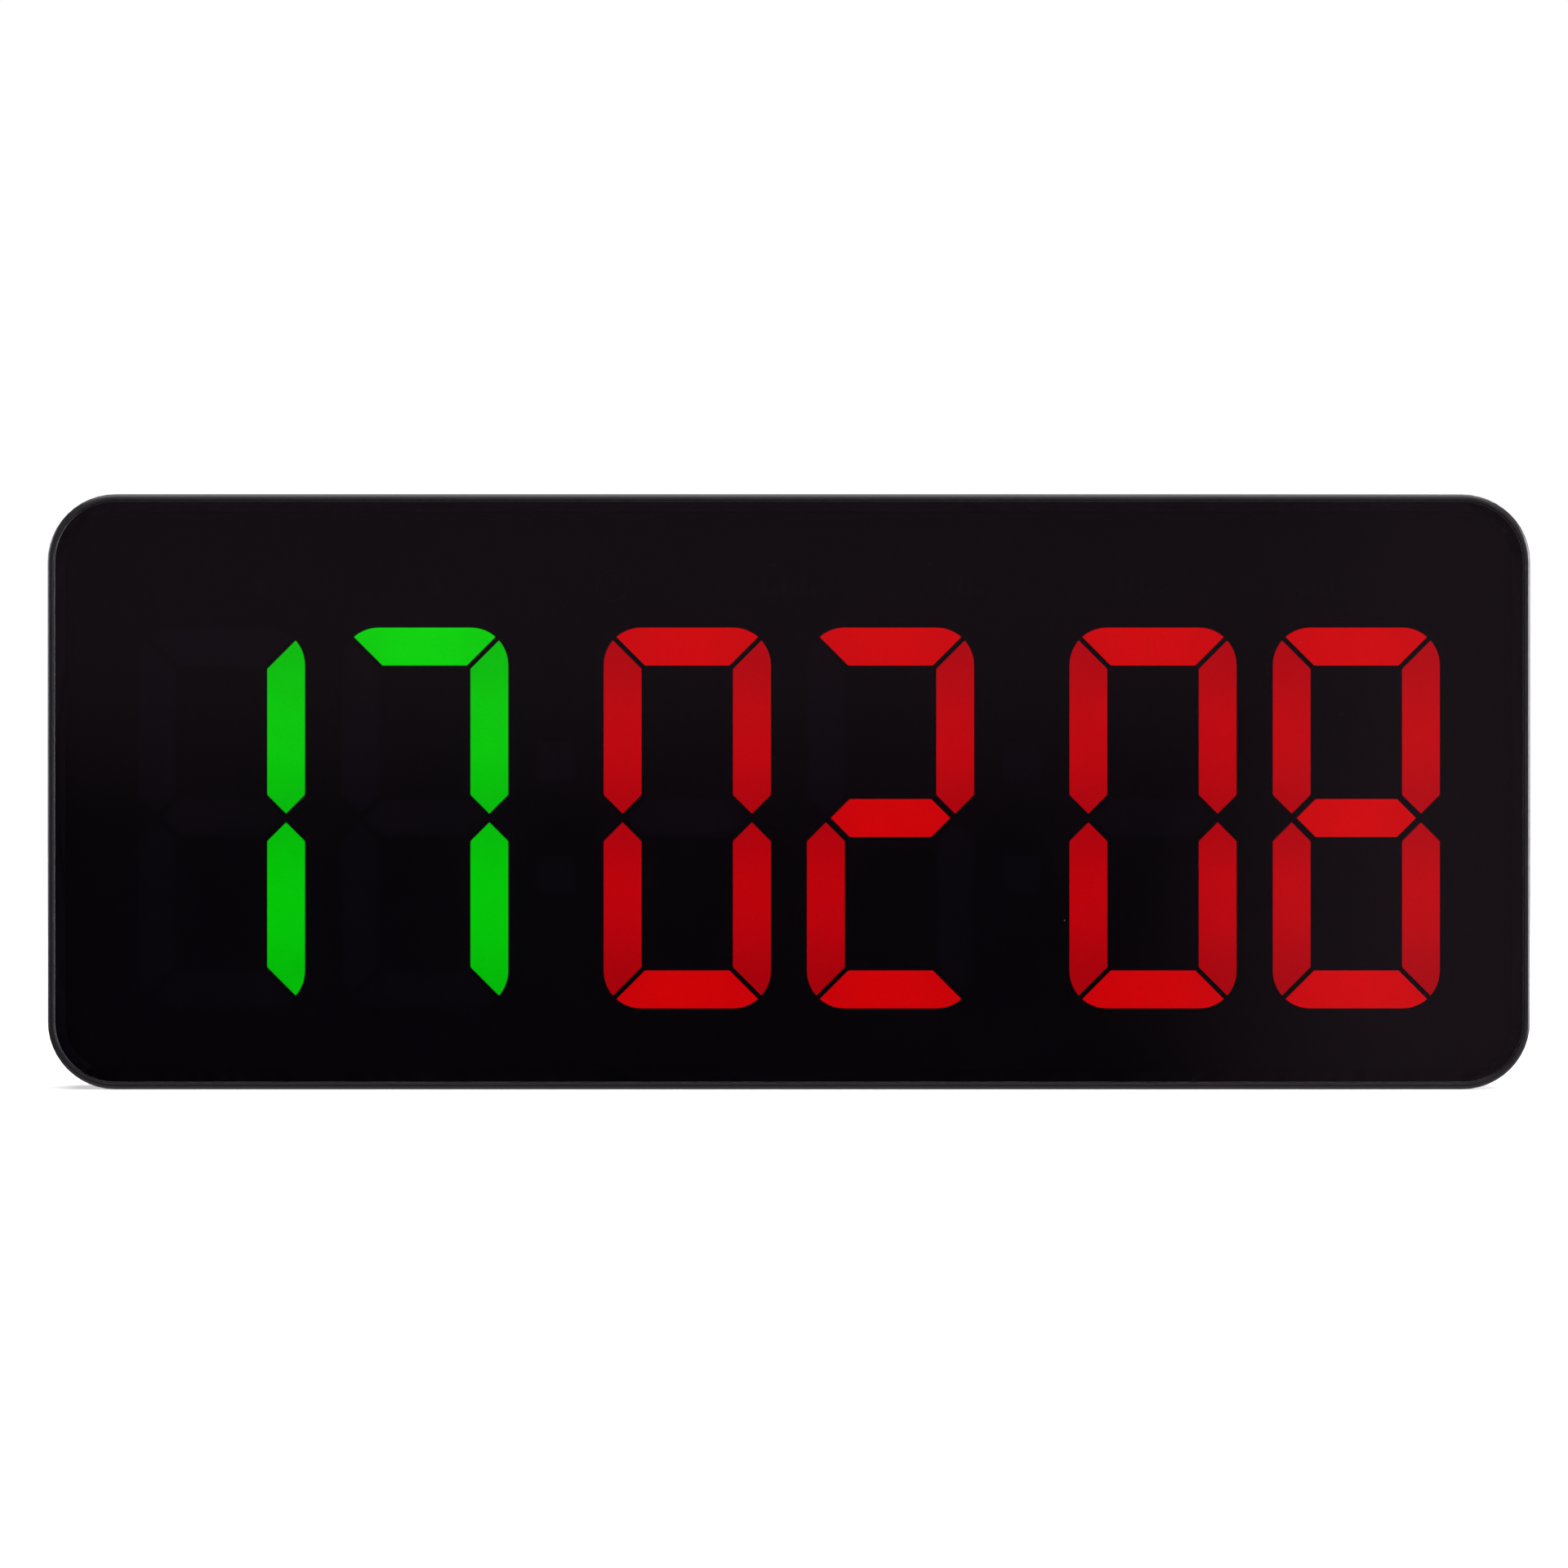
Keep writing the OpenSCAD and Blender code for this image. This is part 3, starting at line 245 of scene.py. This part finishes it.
LENS_ALPHA = 0.66
LENS_COLOUR = (0.0008, 0.0006, 0.0009)
LENS_DUST = (0.16, 0.15, 0.16)
# Painted highlight: the bevel is lighter, partly as a frosted cut edge, partly as the light the
# bevel catches.
LENS_BEVEL_FROST_AND_HIGHLIGHT = (0.050, 0.044, 0.048)
# Painted highlights: the bevel is lighter along the bottom edge and bluish-light along the left
# edge.
LENS_BEVEL_LOW_HIGHLIGHT = (0.090, 0.078, 0.084)
LENS_BEVEL_LEFT_HIGHLIGHT = (0.20, 0.21, 0.24)
BEVEL_STARTS_MM = (0.02, 0.08)  # depths in the glass where the bevel's frosting and painted highlight set in
BEVEL_ENDS_MM = (0.55, 0.45)  # and where it is gone again
LOW_HIGHLIGHT_MM = (2, 5)  # heights over which the painted highlight along the low edge gives way
LEFT_HIGHLIGHT_MM = (-194, -188)  # places over which the painted highlight along the left edge gives way


def smoked_acrylic(name):
    """Polished smoked acrylic. Its alpha lets the lit segments through. Its bevel carries a
    painted highlight, partly also a frosted cut edge, with more painted highlight at the bottom
    and left.
    """
    p = Paint(name, Alpha=LENS_ALPHA, IOR=1.49, **{"Specular IOR Level": 0.5 / LENS_ALPHA})
    smudge = p.ramp(p.noise(38, 5.0, rough=0.62), 0.48, 0.72)
    wipes = p.ramp(p.noise(7, 3.0, p.stretched((0.12, 1, 1))), 0.55, 0.8)
    haze = p.math("MULTIPLY", smudge, p.ramp(wipes, 0, 1, 0.6, 1.0))
    dust = p.math("MAXIMUM", p.specks(5.2, 0.028, 0.30), p.specks(2.1, 0.035, 0.10))
    tone = p.mix(haze, LENS_COLOUR, tinted(LENS_COLOUR, 1.35))
    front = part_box("front_lens")[0].y
    starts, ends = (
        p.ramp(p.axis(1), *(front + depth * MM for depth in depths))
        for depths in (BEVEL_STARTS_MM, BEVEL_ENDS_MM)
    )
    above_low_highlight = p.ramp(p.axis(2), *(place * MM for place in LOW_HIGHLIGHT_MM))
    right_of_left_highlight = p.ramp(p.axis(0), *(place * MM for place in LEFT_HIGHLIGHT_MM))
    # Painted highlights on the bevel: lighter at the bottom, bluish at the left.
    bevel_frost_and_highlight = p.mix(above_low_highlight, LENS_BEVEL_LOW_HIGHLIGHT, LENS_BEVEL_FROST_AND_HIGHLIGHT)
    bevel_frost_and_highlight = p.mix(right_of_left_highlight, LENS_BEVEL_LEFT_HIGHLIGHT, bevel_frost_and_highlight)
    # The painted highlight and frosting on the bevel, laid over the glass's own tone.
    tone = p.mix(p.math("MULTIPLY", starts, ends), tone, bevel_frost_and_highlight)
    p.put("Base Color", p.mix(dust, tone, LENS_DUST))
    gloss = p.ramp(haze, 0, 1, 0.045, 0.11)
    p.put("Roughness", p.math("ADD", gloss, p.math("MULTIPLY", dust, 0.4)))
    p.put("Normal", p.bump(p.noise(60, 1.0), 0.02, 0.25))
    return p.material


DIGIT_CENTRES_MM = (27.125, 97.175, 151.425)  # to each side of the housing's middle
DIGIT_MIDDLE_MM = 72.2  # above the base
UPRIGHT_MIDDLE_MM = 23.0  # height of an upright segment's middle above the digit's middle
MITRE_MM = 28.5  # height less distance from the middle, along a digit's mitred corners
MIDDLE_TIP_MM = 17.4  # height plus distance from the middle, around the middle segment's tips
MITRE_BLUR_MM = 0.2


def lit_insert(name, colour, end_colour, level, mid, ends, low):
    """A diffusing insert lit from behind. Its uprights are dimmer: by mid in the middle of a
    segment, by ends at its tips, and by a further low at the digit's foot."""
    p = Paint(name, Specular_IOR_Level=0.3, Roughness=0.6)
    across = p.math("ABSOLUTE", p.math("MULTIPLY", p.axis(0), 1 / MM))
    gaps = [p.math("ABSOLUTE", p.math("SUBTRACT", across, c)) for c in DIGIT_CENTRES_MM]
    off_x = p.math("MINIMUM", gaps[0], p.math("MINIMUM", gaps[1], gaps[2]))
    height = p.math("SUBTRACT", p.math("MULTIPLY", p.axis(2), 1 / MM), DIGIT_MIDDLE_MM)
    rise = p.math("ABSOLUTE", height)
    off_z = p.math("ABSOLUTE", p.math("SUBTRACT", rise, UPRIGHT_MIDDLE_MM))
    outer = p.ramp(
        p.math("SUBTRACT", rise, off_x), MITRE_MM - MITRE_BLUR_MM, MITRE_MM + MITRE_BLUR_MM
    )
    inner = p.ramp(
        p.math("ADD", rise, off_x), MIDDLE_TIP_MM + MITRE_BLUR_MM, MIDDLE_TIP_MM - MITRE_BLUR_MM
    )
    flat = p.math("MAXIMUM", outer, inner)
    upright = p.math("SUBTRACT", 1.0, flat)
    dim_up = p.ramp(off_z, 3, 22, mid, ends, smooth=True)
    dim_low = p.ramp(height, -46, -14, low, 1.0, smooth=True)
    dim_flat = p.ramp(off_x, 3, 16, 1.0, 0.955, smooth=True)
    share = p.math(
        "ADD",
        p.math("MULTIPLY", upright, p.math("MULTIPLY", dim_up, dim_low)),
        p.math("MULTIPLY", flat, dim_flat),
    )
    spots = p.ramp(p.noise(6.5, 1.0), 0.3, 0.7, 0.985, 1.015)
    share = p.math("MULTIPLY", share, spots)
    tone = p.mix(p.ramp(share, 0.75, 1.0), end_colour, colour)
    glow = p.node("VectorMath", {0: tone, "Scale": share}, operation="SCALE")
    p.put("Base Color", p.mix(p.noise(0.4), tinted(colour, 0.02), tinted(colour, 0.04)))
    p.put("Emission Color", glow)
    p.put("Emission Strength", level / (1 - LENS_ALPHA) ** 2)  # it shows through two surfaces
    return p.material


TRACK_PITCH = 0.9 * MM


def circuit_board(name):
    """Solder mask over copper: runs of parallel tracks in patches, and silver pads."""
    p = Paint(name, Specular_IOR_Level=0.5, Coat_Weight=0.4, Coat_Roughness=0.2)
    patch = p.node("SeparateColor", {0: p.cells(11, out="Color")})
    tracks_per_metre = 1 / TRACK_PITCH
    runs = []
    for axis in (0, 2):
        place = p.math("FRACT", p.math("MULTIPLY", p.axis(axis), tracks_per_metre))
        line = p.math("LESS_THAN", p.math("ABSOLUTE", p.math("SUBTRACT", place, 0.5)), 0.17)
        runs.append(line)
    chosen = p.math("LESS_THAN", patch, 0.42)
    other = p.math("GREATER_THAN", patch, 0.66)
    tracks = p.math(
        "MAXIMUM", p.math("MULTIPLY", runs[0], chosen), p.math("MULTIPLY", runs[1], other)
    )
    base = p.mix(p.noise(14), (0.010, 0.052, 0.026), (0.014, 0.070, 0.034))
    tone = p.mix(tracks, base, (0.028, 0.125, 0.060))
    vias = p.specks(3.1, 0.10, 0.35)
    tone = p.mix(vias, tone, (0.45, 0.42, 0.32))
    p.put("Base Color", tone)
    p.put("Roughness", p.ramp(p.noise(2.0), 0.3, 0.7, 0.30, 0.42))
    p.put("Metallic", p.math("MULTIPLY", vias, 0.9))
    p.put("Normal", p.bump(tracks, 0.03))
    return p.material


def battery_wrap(name):
    p = Paint(name, Metallic=0.85)
    folds = p.noise(9, 4.0, p.stretched((1, 1, 1.6)))
    fine = p.noise(0.5, 2.0)
    p.put("Base Color", p.mix(p.ramp(folds, 0.3, 0.7), (0.44, 0.46, 0.49), (0.58, 0.60, 0.63)))
    p.put("Roughness", p.ramp(fine, 0.3, 0.7, 0.30, 0.42))
    p.put("Normal", p.bump(fine, 0.01, under=p.bump(folds, 0.35)))
    return p.material


def foam(name, colour, cell_mm):
    p = Paint(name, Specular_IOR_Level=0.25)
    cells = p.cells(cell_mm)
    # Painted shade: the cells' hollow middles, where the bump sinks, are darker than their rims.
    p.put("Base Color", p.mix(p.ramp(cells, 0.1, 0.6), tinted(colour, 0.7), tinted(colour, 1.25)))
    p.put("Roughness", p.ramp(p.noise(3), 0.3, 0.7, 0.82, 0.95))
    p.put("Normal", p.bump(cells, cell_mm * 0.25))
    return p.material


RIBBON_PITCH = 1.27 * MM  # from one conductor to the next
RIBBON_EDGE = 1.4 * MM  # width of the marked edge


def ribbon(name):
    """Flat cable: ridges along the conductors with painted shade in the grooves between them, and
    one marked edge.
    """
    p = Paint(name, Specular_IOR_Level=0.4)
    phase = p.math("MULTIPLY", p.axis(0), math.pi / RIBBON_PITCH)
    ridges = p.math("ABSOLUTE", p.math("SINE", phase))
    edge = p.math("LESS_THAN", p.axis(0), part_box("ribbon_cable")[0].x + RIBBON_EDGE)
    tone = p.mix(p.noise(6), (0.26, 0.27, 0.29), (0.34, 0.35, 0.37))
    # Painted shade: the grooves between the conductors are darkened.
    tone = p.mix(p.ramp(ridges, 0.0, 0.25, 0.5, 0.0), tone, (0.12, 0.12, 0.13))
    p.put("Base Color", p.mix(edge, tone, (0.38, 0.03, 0.03)))
    p.put("Roughness", p.ramp(p.noise(1.0), 0.3, 0.7, 0.42, 0.55))
    p.put("Normal", p.bump(ridges, 0.15))
    return p.material


BUTTONS = ("start_button", "reset_button", "mode_button", "up_button", "down_button")
RUBBED_FROM, RUBBED_TO = 0.8 * MM, 4.2 * MM  # distances from a button's middle


def button_plastic(name, colour):
    """Satin plastic, polished by fingers at the middle of each button."""
    p = Paint(name)
    centres = [(a + b) / 2 for a, b in (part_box(n) for n in BUTTONS)]
    pitch = centres[1].x - centres[0].x
    place = p.math("FRACT", p.math("ADD", p.math("DIVIDE", p.axis(0), pitch), 0.5))
    dx = p.math("MULTIPLY", p.math("SUBTRACT", place, 0.5), pitch)
    dz = p.math("SUBTRACT", p.axis(2), centres[0].z)
    out = p.math("SQRT", p.math("ADD", p.math("POWER", dx, 2.0), p.math("POWER", dz, 2.0)))
    rubbed = p.ramp(out, RUBBED_FROM, RUBBED_TO, 1.0, 0.0, smooth=True)
    grain = p.noise(0.25, 2.0)
    tone = p.mix(p.ramp(p.noise(5), 0.3, 0.7), tinted(colour, 0.9), tinted(colour, 1.15))
    p.put("Base Color", p.mix(p.math("MULTIPLY", rubbed, 0.4), tone, tinted(colour, 1.5)))
    gloss = p.ramp(p.noise(1.1), 0.3, 0.7, 0.46, 0.56)
    p.put("Roughness", p.math("SUBTRACT", gloss, p.math("MULTIPLY", rubbed, 0.16)))
    p.put("Normal", p.bump(grain, 0.008, 0.9))
    return p.material


GREEN, GREEN_END = (0.0006, 0.625, 0.0010), (0.0006, 0.60, 0.0020)
RED, RED_END = (0.600, 0.0003, 0.0010), (0.570, 0.0003, 0.0035)

finishes = {
    "frame_plastic": moulded(
        "frame_plastic", (0.0080, 0.0070, 0.0085), 0.34, 0.10, 0.22, 0.006, dust=0.01, scuffs=0.10
    ),
    "smoked_acrylic": smoked_acrylic("smoked_acrylic"),
    "tape_foam": foam("tape_foam", (0.050, 0.034, 0.062), 0.3),
    "mask_film": moulded(
        "mask_film", (0.055, 0.036, 0.068), 0.62, 0.08, 0.2, 0.003, Specular_IOR_Level=0.2
    ),
    "white_plastic": moulded("white_plastic", (0.74, 0.73, 0.70), 0.5, 0.04, 0.3, 0.006),
    "green_light": lit_insert("green_light", GREEN, GREEN_END, 1.02, 0.90, 0.80, 0.98),
    "red_light": lit_insert("red_light", RED, RED_END, 1.0, 0.845, 0.72, 0.90),
    "unlit_diffuser": moulded(
        "unlit_diffuser", (0.100, 0.068, 0.128), 0.55, 0.06, 0.3, 0.004, Specular_IOR_Level=0.3
    ),
    "circuit_board": circuit_board("circuit_board"),
    "led_package": moulded("led_package", (0.74, 0.68, 0.42), 0.35, 0.08, 0.5, 0.01),
    "chip_black": moulded("chip_black", (0.020, 0.020, 0.021), 0.5, 0.1, 0.12, 0.006),
    "bright_metal": metal("bright_metal", (0.60, 0.61, 0.63), 0.27, (0.08, 1, 1)),
    "screw_steel": metal(
        "screw_steel", (0.075, 0.075, 0.080), 0.36, (1, 1, 1), 0.55, (0.38, 0.38, 0.39)
    ),
    "cover_plastic": moulded(
        "cover_plastic",
        (0.0175, 0.0162, 0.0188),
        rough=0.52,
        spread=0.10,
        grain_mm=0.42,
        grain_depth=0.075,
        dust=0.012,
        scuffs=0.30,
        edge_mm=0.25,
    ),
    "button_plastic": button_plastic("button_plastic", (0.036, 0.034, 0.038)),
    "switch_plastic": moulded(
        "switch_plastic", (0.014, 0.014, 0.0155), 0.24, 0.1, 0.9, 0.003, dust=0.015, scuffs=0.1
    ),
    "plunger_plastic": moulded("plunger_plastic", (0.50, 0.46, 0.40), 0.45, 0.05),
    "battery_wrap": battery_wrap("battery_wrap"),
    "pad_foam": foam("pad_foam", (0.12, 0.12, 0.13), 0.8),
    "plug_plastic": moulded("plug_plastic", (0.76, 0.73, 0.62), 0.42, 0.05, 0.5, 0.006),
    "ribbon_plastic": ribbon("ribbon_plastic"),
    "lead_plastic": moulded("lead_plastic", (0.34, 0.018, 0.024), 0.4, 0.1, 0.4, 0.006),
    "foot_rubber": moulded(
        "foot_rubber", (0.019, 0.019, 0.020), 0.78, 0.15, 0.35, 0.04, dust=0.12, scuffs=0.15
    ),
}
for part in nodes.values():
    for held in part.material_slots:
        held.material = finishes[held.material.name.split(".")[0]]


# ---- Small pieces that the CAD model leaves to the looks ----


def outline_piece(name, outlines, back_y, front_y, body, finish, edge=0.04 * MM):
    """A flat piece from closed outlines of (x, z) points, between two depths, with soft edges."""
    mesh = bpy.data.meshes.new(name)
    build = bmesh.new()
    for outline in outlines:
        low = [build.verts.new((x, back_y, z)) for x, z in outline]
        high = [build.verts.new((x, front_y, z)) for x, z in outline]
        build.faces.new(low)
        build.faces.new(high[::-1])
        for k in range(len(outline)):
            n = (k + 1) % len(outline)
            build.faces.new((low[k], high[k], high[n], low[n]))
    bmesh.ops.recalc_face_normals(build, faces=build.faces)
    build.to_mesh(mesh)
    build.free()
    piece = bpy.data.objects.new(name, mesh)
    bpy.context.scene.collection.objects.link(piece)
    mesh.materials.append(finish)
    soft = piece.modifiers.new("soft_edges", "BEVEL")
    soft.width, soft.segments, soft.limit_method = edge, 2, "ANGLE"
    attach(piece, body)


def rounded(cx, cz, w, h, r, steps=8):
    """The outline of a rounded rectangle."""
    points = []
    for corner, (sx, sz) in enumerate(((1, 1), (-1, 1), (-1, -1), (1, -1))):
        arc_x, arc_z = cx + sx * (w / 2 - r), cz + sz * (h / 2 - r)
        for k in range(steps + 1):
            a = math.pi / 2 * (corner + k / steps)
            points.append((arc_x + r * math.cos(a), arc_z + r * math.sin(a)))
    return points


def rectangle(cx, cz, w, h):
    return [(cx + a * w / 2, cz + b * h / 2) for a, b in ((1, 1), (-1, 1), (-1, -1), (1, -1))]


MARK = 1.7 * MM  # half the size of a button's mark
MARK_SINK = 0.3 * MM  # depth of a mark's recess
MARK_TOP = 0.1 * MM  # depth of the paint's face
MARK_FIT = 0.93  # the paint stands a little inside its recess
marks = (
    [[(MARK, -MARK), (MARK, MARK), (-MARK, 0)]],
    [rectangle(0, 0, 2 * MARK, 2 * MARK)],
    [rectangle(0, row * MARK, 2.2 * MARK, 0.7 * MM) for row in (-1, 0, 1)],
    [[(-MARK, -MARK), (MARK, -MARK), (0, MARK)]],
    [[(-MARK, MARK), (MARK, MARK), (0, -MARK)]],
)
paint_finish = moulded("mark_paint", (0.40, 0.40, 0.39), 0.5, 0.06, 0.2, 0.01, dust=0.05)
for button, shapes in zip(BUTTONS, marks):
    low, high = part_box(button)
    cx, cz = (low.x + high.x) / 2, (low.z + high.z) / 2
    placed = []
    for shape in shapes:
        mx = sum(x for x, _ in shape) / len(shape)
        mz = sum(z for _, z in shape) / len(shape)
        placed.append(
            [(cx + mx + (x - mx) * MARK_FIT, cz + mz + (z - mz) * MARK_FIT) for x, z in shape]
        )
    outline_piece(
        button.replace("button", "mark"),
        placed,
        high.y - MARK_SINK,
        high.y - MARK_TOP,
        button,
        paint_finish,
    )

# A blank rating label in its recess on the back
LABEL_MIDDLE = (0.0, 48 * MM)
LABEL_SIZE = (71.2 * MM, 33.2 * MM)
LABEL_CORNER_R = 2.1 * MM
LABEL_T = 0.16 * MM
LABEL_RECESS = 0.4 * MM
RULE_W = 0.35 * MM
RULE_GAP = 0.42 * MM  # left where two rules would cross
RULE_INSET = 2.5 * MM
RULE_T = 0.03 * MM  # the rules stand this far above the plate
RULE_STEP = 4.5 * MM  # distance of the inner rules from the label's middle
label_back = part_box("rear_cover")[1].y - LABEL_RECESS
label_paint = moulded(
    "label_foil", (0.36, 0.365, 0.375), 0.36, 0.04, 0.5, 0.004, scuffs=0.15, Metallic=0.6
)
ink = moulded("label_ink", (0.02, 0.02, 0.022), 0.5, 0.06, 0.3, 0.002)
outline_piece(
    "label_plate",
    [rounded(*LABEL_MIDDLE, *LABEL_SIZE, LABEL_CORNER_R)],
    label_back,
    label_back + LABEL_T,
    "housing",
    label_paint,
)
rules_w, rules_h = (side - 2 * RULE_INSET for side in LABEL_SIZE)
label_z = LABEL_MIDDLE[1]
rules = [rectangle(0, label_z + s * rules_h / 2, rules_w + RULE_W, RULE_W) for s in (-1, 1)]
rules += [rectangle(s * rules_w / 2, label_z, RULE_W, rules_h - RULE_GAP) for s in (-1, 1)]
rules += [rectangle(0, label_z + s * RULE_STEP, rules_w - RULE_GAP, RULE_W) for s in (-1, 1)]
outline_piece(
    "label_rules",
    rules,
    label_back + LABEL_T - 0.01 * MM,
    label_back + LABEL_T + RULE_T,
    "housing",
    ink,
    edge=0.01 * MM,
)

# The charging socket's black tongue and its contacts
socket_low, socket_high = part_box("charge_socket")
tongue_y = (socket_low.y + socket_high.y) / 2
tongue_z = (socket_low.z + socket_high.z) / 2
tongue_out, tongue_in = socket_high.x - 0.72 * MM, socket_high.x - 6.9 * MM
TONGUE_HALF_T = 0.42 * MM
TONGUE_HALF_W = 3.42 * MM
CONTACTS = 12
CONTACT_PITCH = 0.5 * MM
CONTACT_HALF_W = 0.14 * MM
CONTACT_ENDS = (4.6 * MM, 0.5 * MM)  # distances from the tongue's tip
CONTACT_BASE = 0.40 * MM  # distance of a contact's underside from the tongue's middle
CONTACT_T = 0.05 * MM


def tongue_block(name, x0, x1, y0, y1, spans, finish, edge):
    """Bars along X between two depths, one for each (z from, z to)."""
    outlines = [[(x0, a), (x1, a), (x1, b), (x0, b)] for a, b in spans]
    outline_piece(name, outlines, y0, y1, "housing", finish, edge)


tongue_block(
    "socket_tongue",
    tongue_in,
    tongue_out,
    tongue_y - TONGUE_HALF_T,
    tongue_y + TONGUE_HALF_T,
    [(tongue_z - TONGUE_HALF_W, tongue_z + TONGUE_HALF_W)],
    finishes["switch_plastic"],
    0.12 * MM,
)
gold = metal("contact_gold", (0.78, 0.56, 0.22), 0.25)
contact_z = [tongue_z + (k - (CONTACTS - 1) / 2) * CONTACT_PITCH for k in range(CONTACTS)]
spans = [(z - CONTACT_HALF_W, z + CONTACT_HALF_W) for z in contact_z]
for label, side in (("front", -1), ("back", 1)):
    base = tongue_y + side * CONTACT_BASE
    tongue_block(
        f"socket_contacts_{label}",
        tongue_out - CONTACT_ENDS[0],
        tongue_out - CONTACT_ENDS[1],
        min(base, base + side * CONTACT_T),
        max(base, base + side * CONTACT_T),
        spans,
        gold,
        0.01 * MM,
    )


# ---- Soft edges on the CAD parts ----


def soften(node, width_mm, sharp_deg=35):
    """Rounds a CAD part's edges a little with modifiers, so that they catch the light."""
    part = nodes[node]
    join = part.modifiers.new("join", "WELD")
    join.merge_threshold = 1e-6
    flat = part.modifiers.new("flat", "DECIMATE")
    flat.decimate_type, flat.angle_limit = "DISSOLVE", math.radians(0.5)
    edges = part.modifiers.new("edges", "BEVEL")
    edges.width, edges.segments = width_mm * MM, 2
    edges.limit_method, edges.angle_limit = "ANGLE", math.radians(sharp_deg)
    edges.miter_outer = "MITER_ARC"
    edges.use_clamp_overlap = False
    shade = part.modifiers.new("shade", "WEIGHTED_NORMAL")
    shade.weight = 100


soften("front_frame", 0.12)
soften("power_switch_body", 0.2)
soften("power_rocker", 0.2, 8)
for button in BUTTONS:
    soften(button, 0.12)
for side in ("left", "right"):
    soften(f"{side}_foot", 0.3)
    soften(f"{side}_foot_pad", 0.4)
soften("rear_bumpers", 0.5)


# ---- Floor, light and backdrop ----


FLOOR_HALF = 5.0
FLOOR_CELLS = 24
FLOOR_DROP = 0.1 * MM  # the floor lies this far below the base
FLOOR_GLOW_NEAR, FLOOR_GLOW_FAR = (0.46, 0.46, 0.46), (1.0, 1.0, 1.0)


def stage_floor():
    """Pale paper that glows more with distance, so that it runs into the white behind it."""
    mesh = bpy.data.meshes.new("floor")
    build = bmesh.new()
    bmesh.ops.create_grid(
        build, x_segments=FLOOR_CELLS, y_segments=FLOOR_CELLS, size=FLOOR_HALF
    )
    build.to_mesh(mesh)
    build.free()
    floor = bpy.data.objects.new("floor", mesh)
    floor.location = (0, 0, cad_low.z - FLOOR_DROP)
    bpy.context.scene.collection.objects.link(floor)
    p = Paint("floor_paper", Roughness=0.85, Specular_IOR_Level=0.1)
    p.put("Base Color", p.mix(p.noise(180, 2.0), (0.86, 0.86, 0.865), (0.89, 0.89, 0.89)))
    away = p.node("VectorMath", {0: p.coords}, out=1, operation="LENGTH")
    p.put("Emission Color", p.mix(p.ramp(away, 0.5, 1.6), FLOOR_GLOW_NEAR, FLOOR_GLOW_FAR))
    p.put("Emission Strength", 1.0)
    mesh.materials.append(p.material)
    floor.visible_glossy = False


def soft_light(name, place, size, power, colour):
    """A rectangle of light that faces the housing's middle."""
    data = bpy.data.lights.new(name, "AREA")
    data.shape = "RECTANGLE"
    data.size, data.size_y = size
    data.energy, data.color = power, colour
    light = bpy.data.objects.new(name, data)
    light.location = place
    toward = Vector((0, 0, middle.z)) - Vector(place)
    light.rotation_euler = toward.to_track_quat("-Z", "Y").to_euler()
    light.visible_camera = False
    bpy.context.scene.collection.objects.link(light)


stage_floor()
soft_light("top", (0, -0.1, 1.5), (1.8, 1.2), 26, (1.0, 0.98, 1.0))
soft_light("right", (1.3, -0.05, 0.25), (0.9, 0.7), 26, (0.95, 0.93, 1.0))
soft_light("left", (-1.4, -0.1, 0.3), (0.8, 0.6), 4, (0.80, 0.92, 1.0))
soft_light("front", (0.2, -1.7, 1.25), (1.8, 1.0), 13, (1.0, 0.98, 1.0))
soft_light("back", (0.9, 1.3, 1.3), (1.2, 0.6), 20, (1.0, 0.99, 0.98))
soft_light("back_low", (-1.5, 0.9, 0.35), (0.5, 0.9), 7, (0.92, 0.96, 1.0))


ROOM_DARK, ROOM_LIT = (0.008, 0.006, 0.011, 1), (0.165, 0.115, 0.142, 1)
GROUND = (0.62, 0.58, 0.64, 1)
WHITE = (1, 1, 1, 1)


def backdrop():
    """White for the camera. Reflections see a dim room in front and the pale floor below."""
    world = bpy.data.worlds.new("studio")
    bpy.context.scene.world = world
    world.use_nodes = True
    tree = world.node_tree
    tree.nodes.clear()

    def made(kind, **settings):
        node = tree.nodes.new("ShaderNode" + kind)
        for key, value in settings.items():
            setattr(node, key, value)
        return node

    def ramp(source, low, high, to_low, to_high):
        node = made("MapRange", interpolation_type="SMOOTHSTEP")
        tree.links.new(source, node.inputs[0])
        for index, value in ((1, low), (2, high), (3, to_low), (4, to_high)):
            node.inputs[index].default_value = value
        return node.outputs[0]

    def joined(operation, a, b):
        node = made("Math", operation=operation)
        for index, value in ((0, a), (1, b)):
            if isinstance(value, float):
                node.inputs[index].default_value = value
            else:
                tree.links.new(value, node.inputs[index])
        return node.outputs[0]

    direction = made("SeparateXYZ")
    tree.links.new(made("TexCoord").outputs["Generated"], direction.inputs[0])
    x, y, z = direction.outputs
    upper = ramp(z, -0.015, 0.028, 0.0, 0.74)
    right = ramp(x, 0.050, 0.105, 0.0, 1.0)
    room = joined("MAXIMUM", upper, right)
    ground = ramp(z, -0.18, -0.7, 0.0, 1.0)
    mix = made("Mix", data_type="RGBA")
    tree.links.new(room, mix.inputs[0])
    mix.inputs[6].default_value = ROOM_DARK
    mix.inputs[7].default_value = ROOM_LIT
    below = made("Mix", data_type="RGBA")
    tree.links.new(ground, below.inputs[0])
    tree.links.new(mix.outputs[2], below.inputs[6])
    below.inputs[7].default_value = GROUND
    shown, unseen = made("Background"), made("Background")
    shown.inputs[0].default_value = WHITE
    tree.links.new(below.outputs[2], unseen.inputs[0])
    path, chosen, out = made("LightPath"), made("MixShader"), made("OutputWorld")
    tree.links.new(path.outputs["Is Camera Ray"], chosen.inputs[0])
    tree.links.new(unseen.outputs[0], chosen.inputs[1])
    tree.links.new(shown.outputs[0], chosen.inputs[2])
    tree.links.new(chosen.outputs[0], out.inputs[0])


backdrop()
bpy.context.scene.view_settings.view_transform = "Standard"
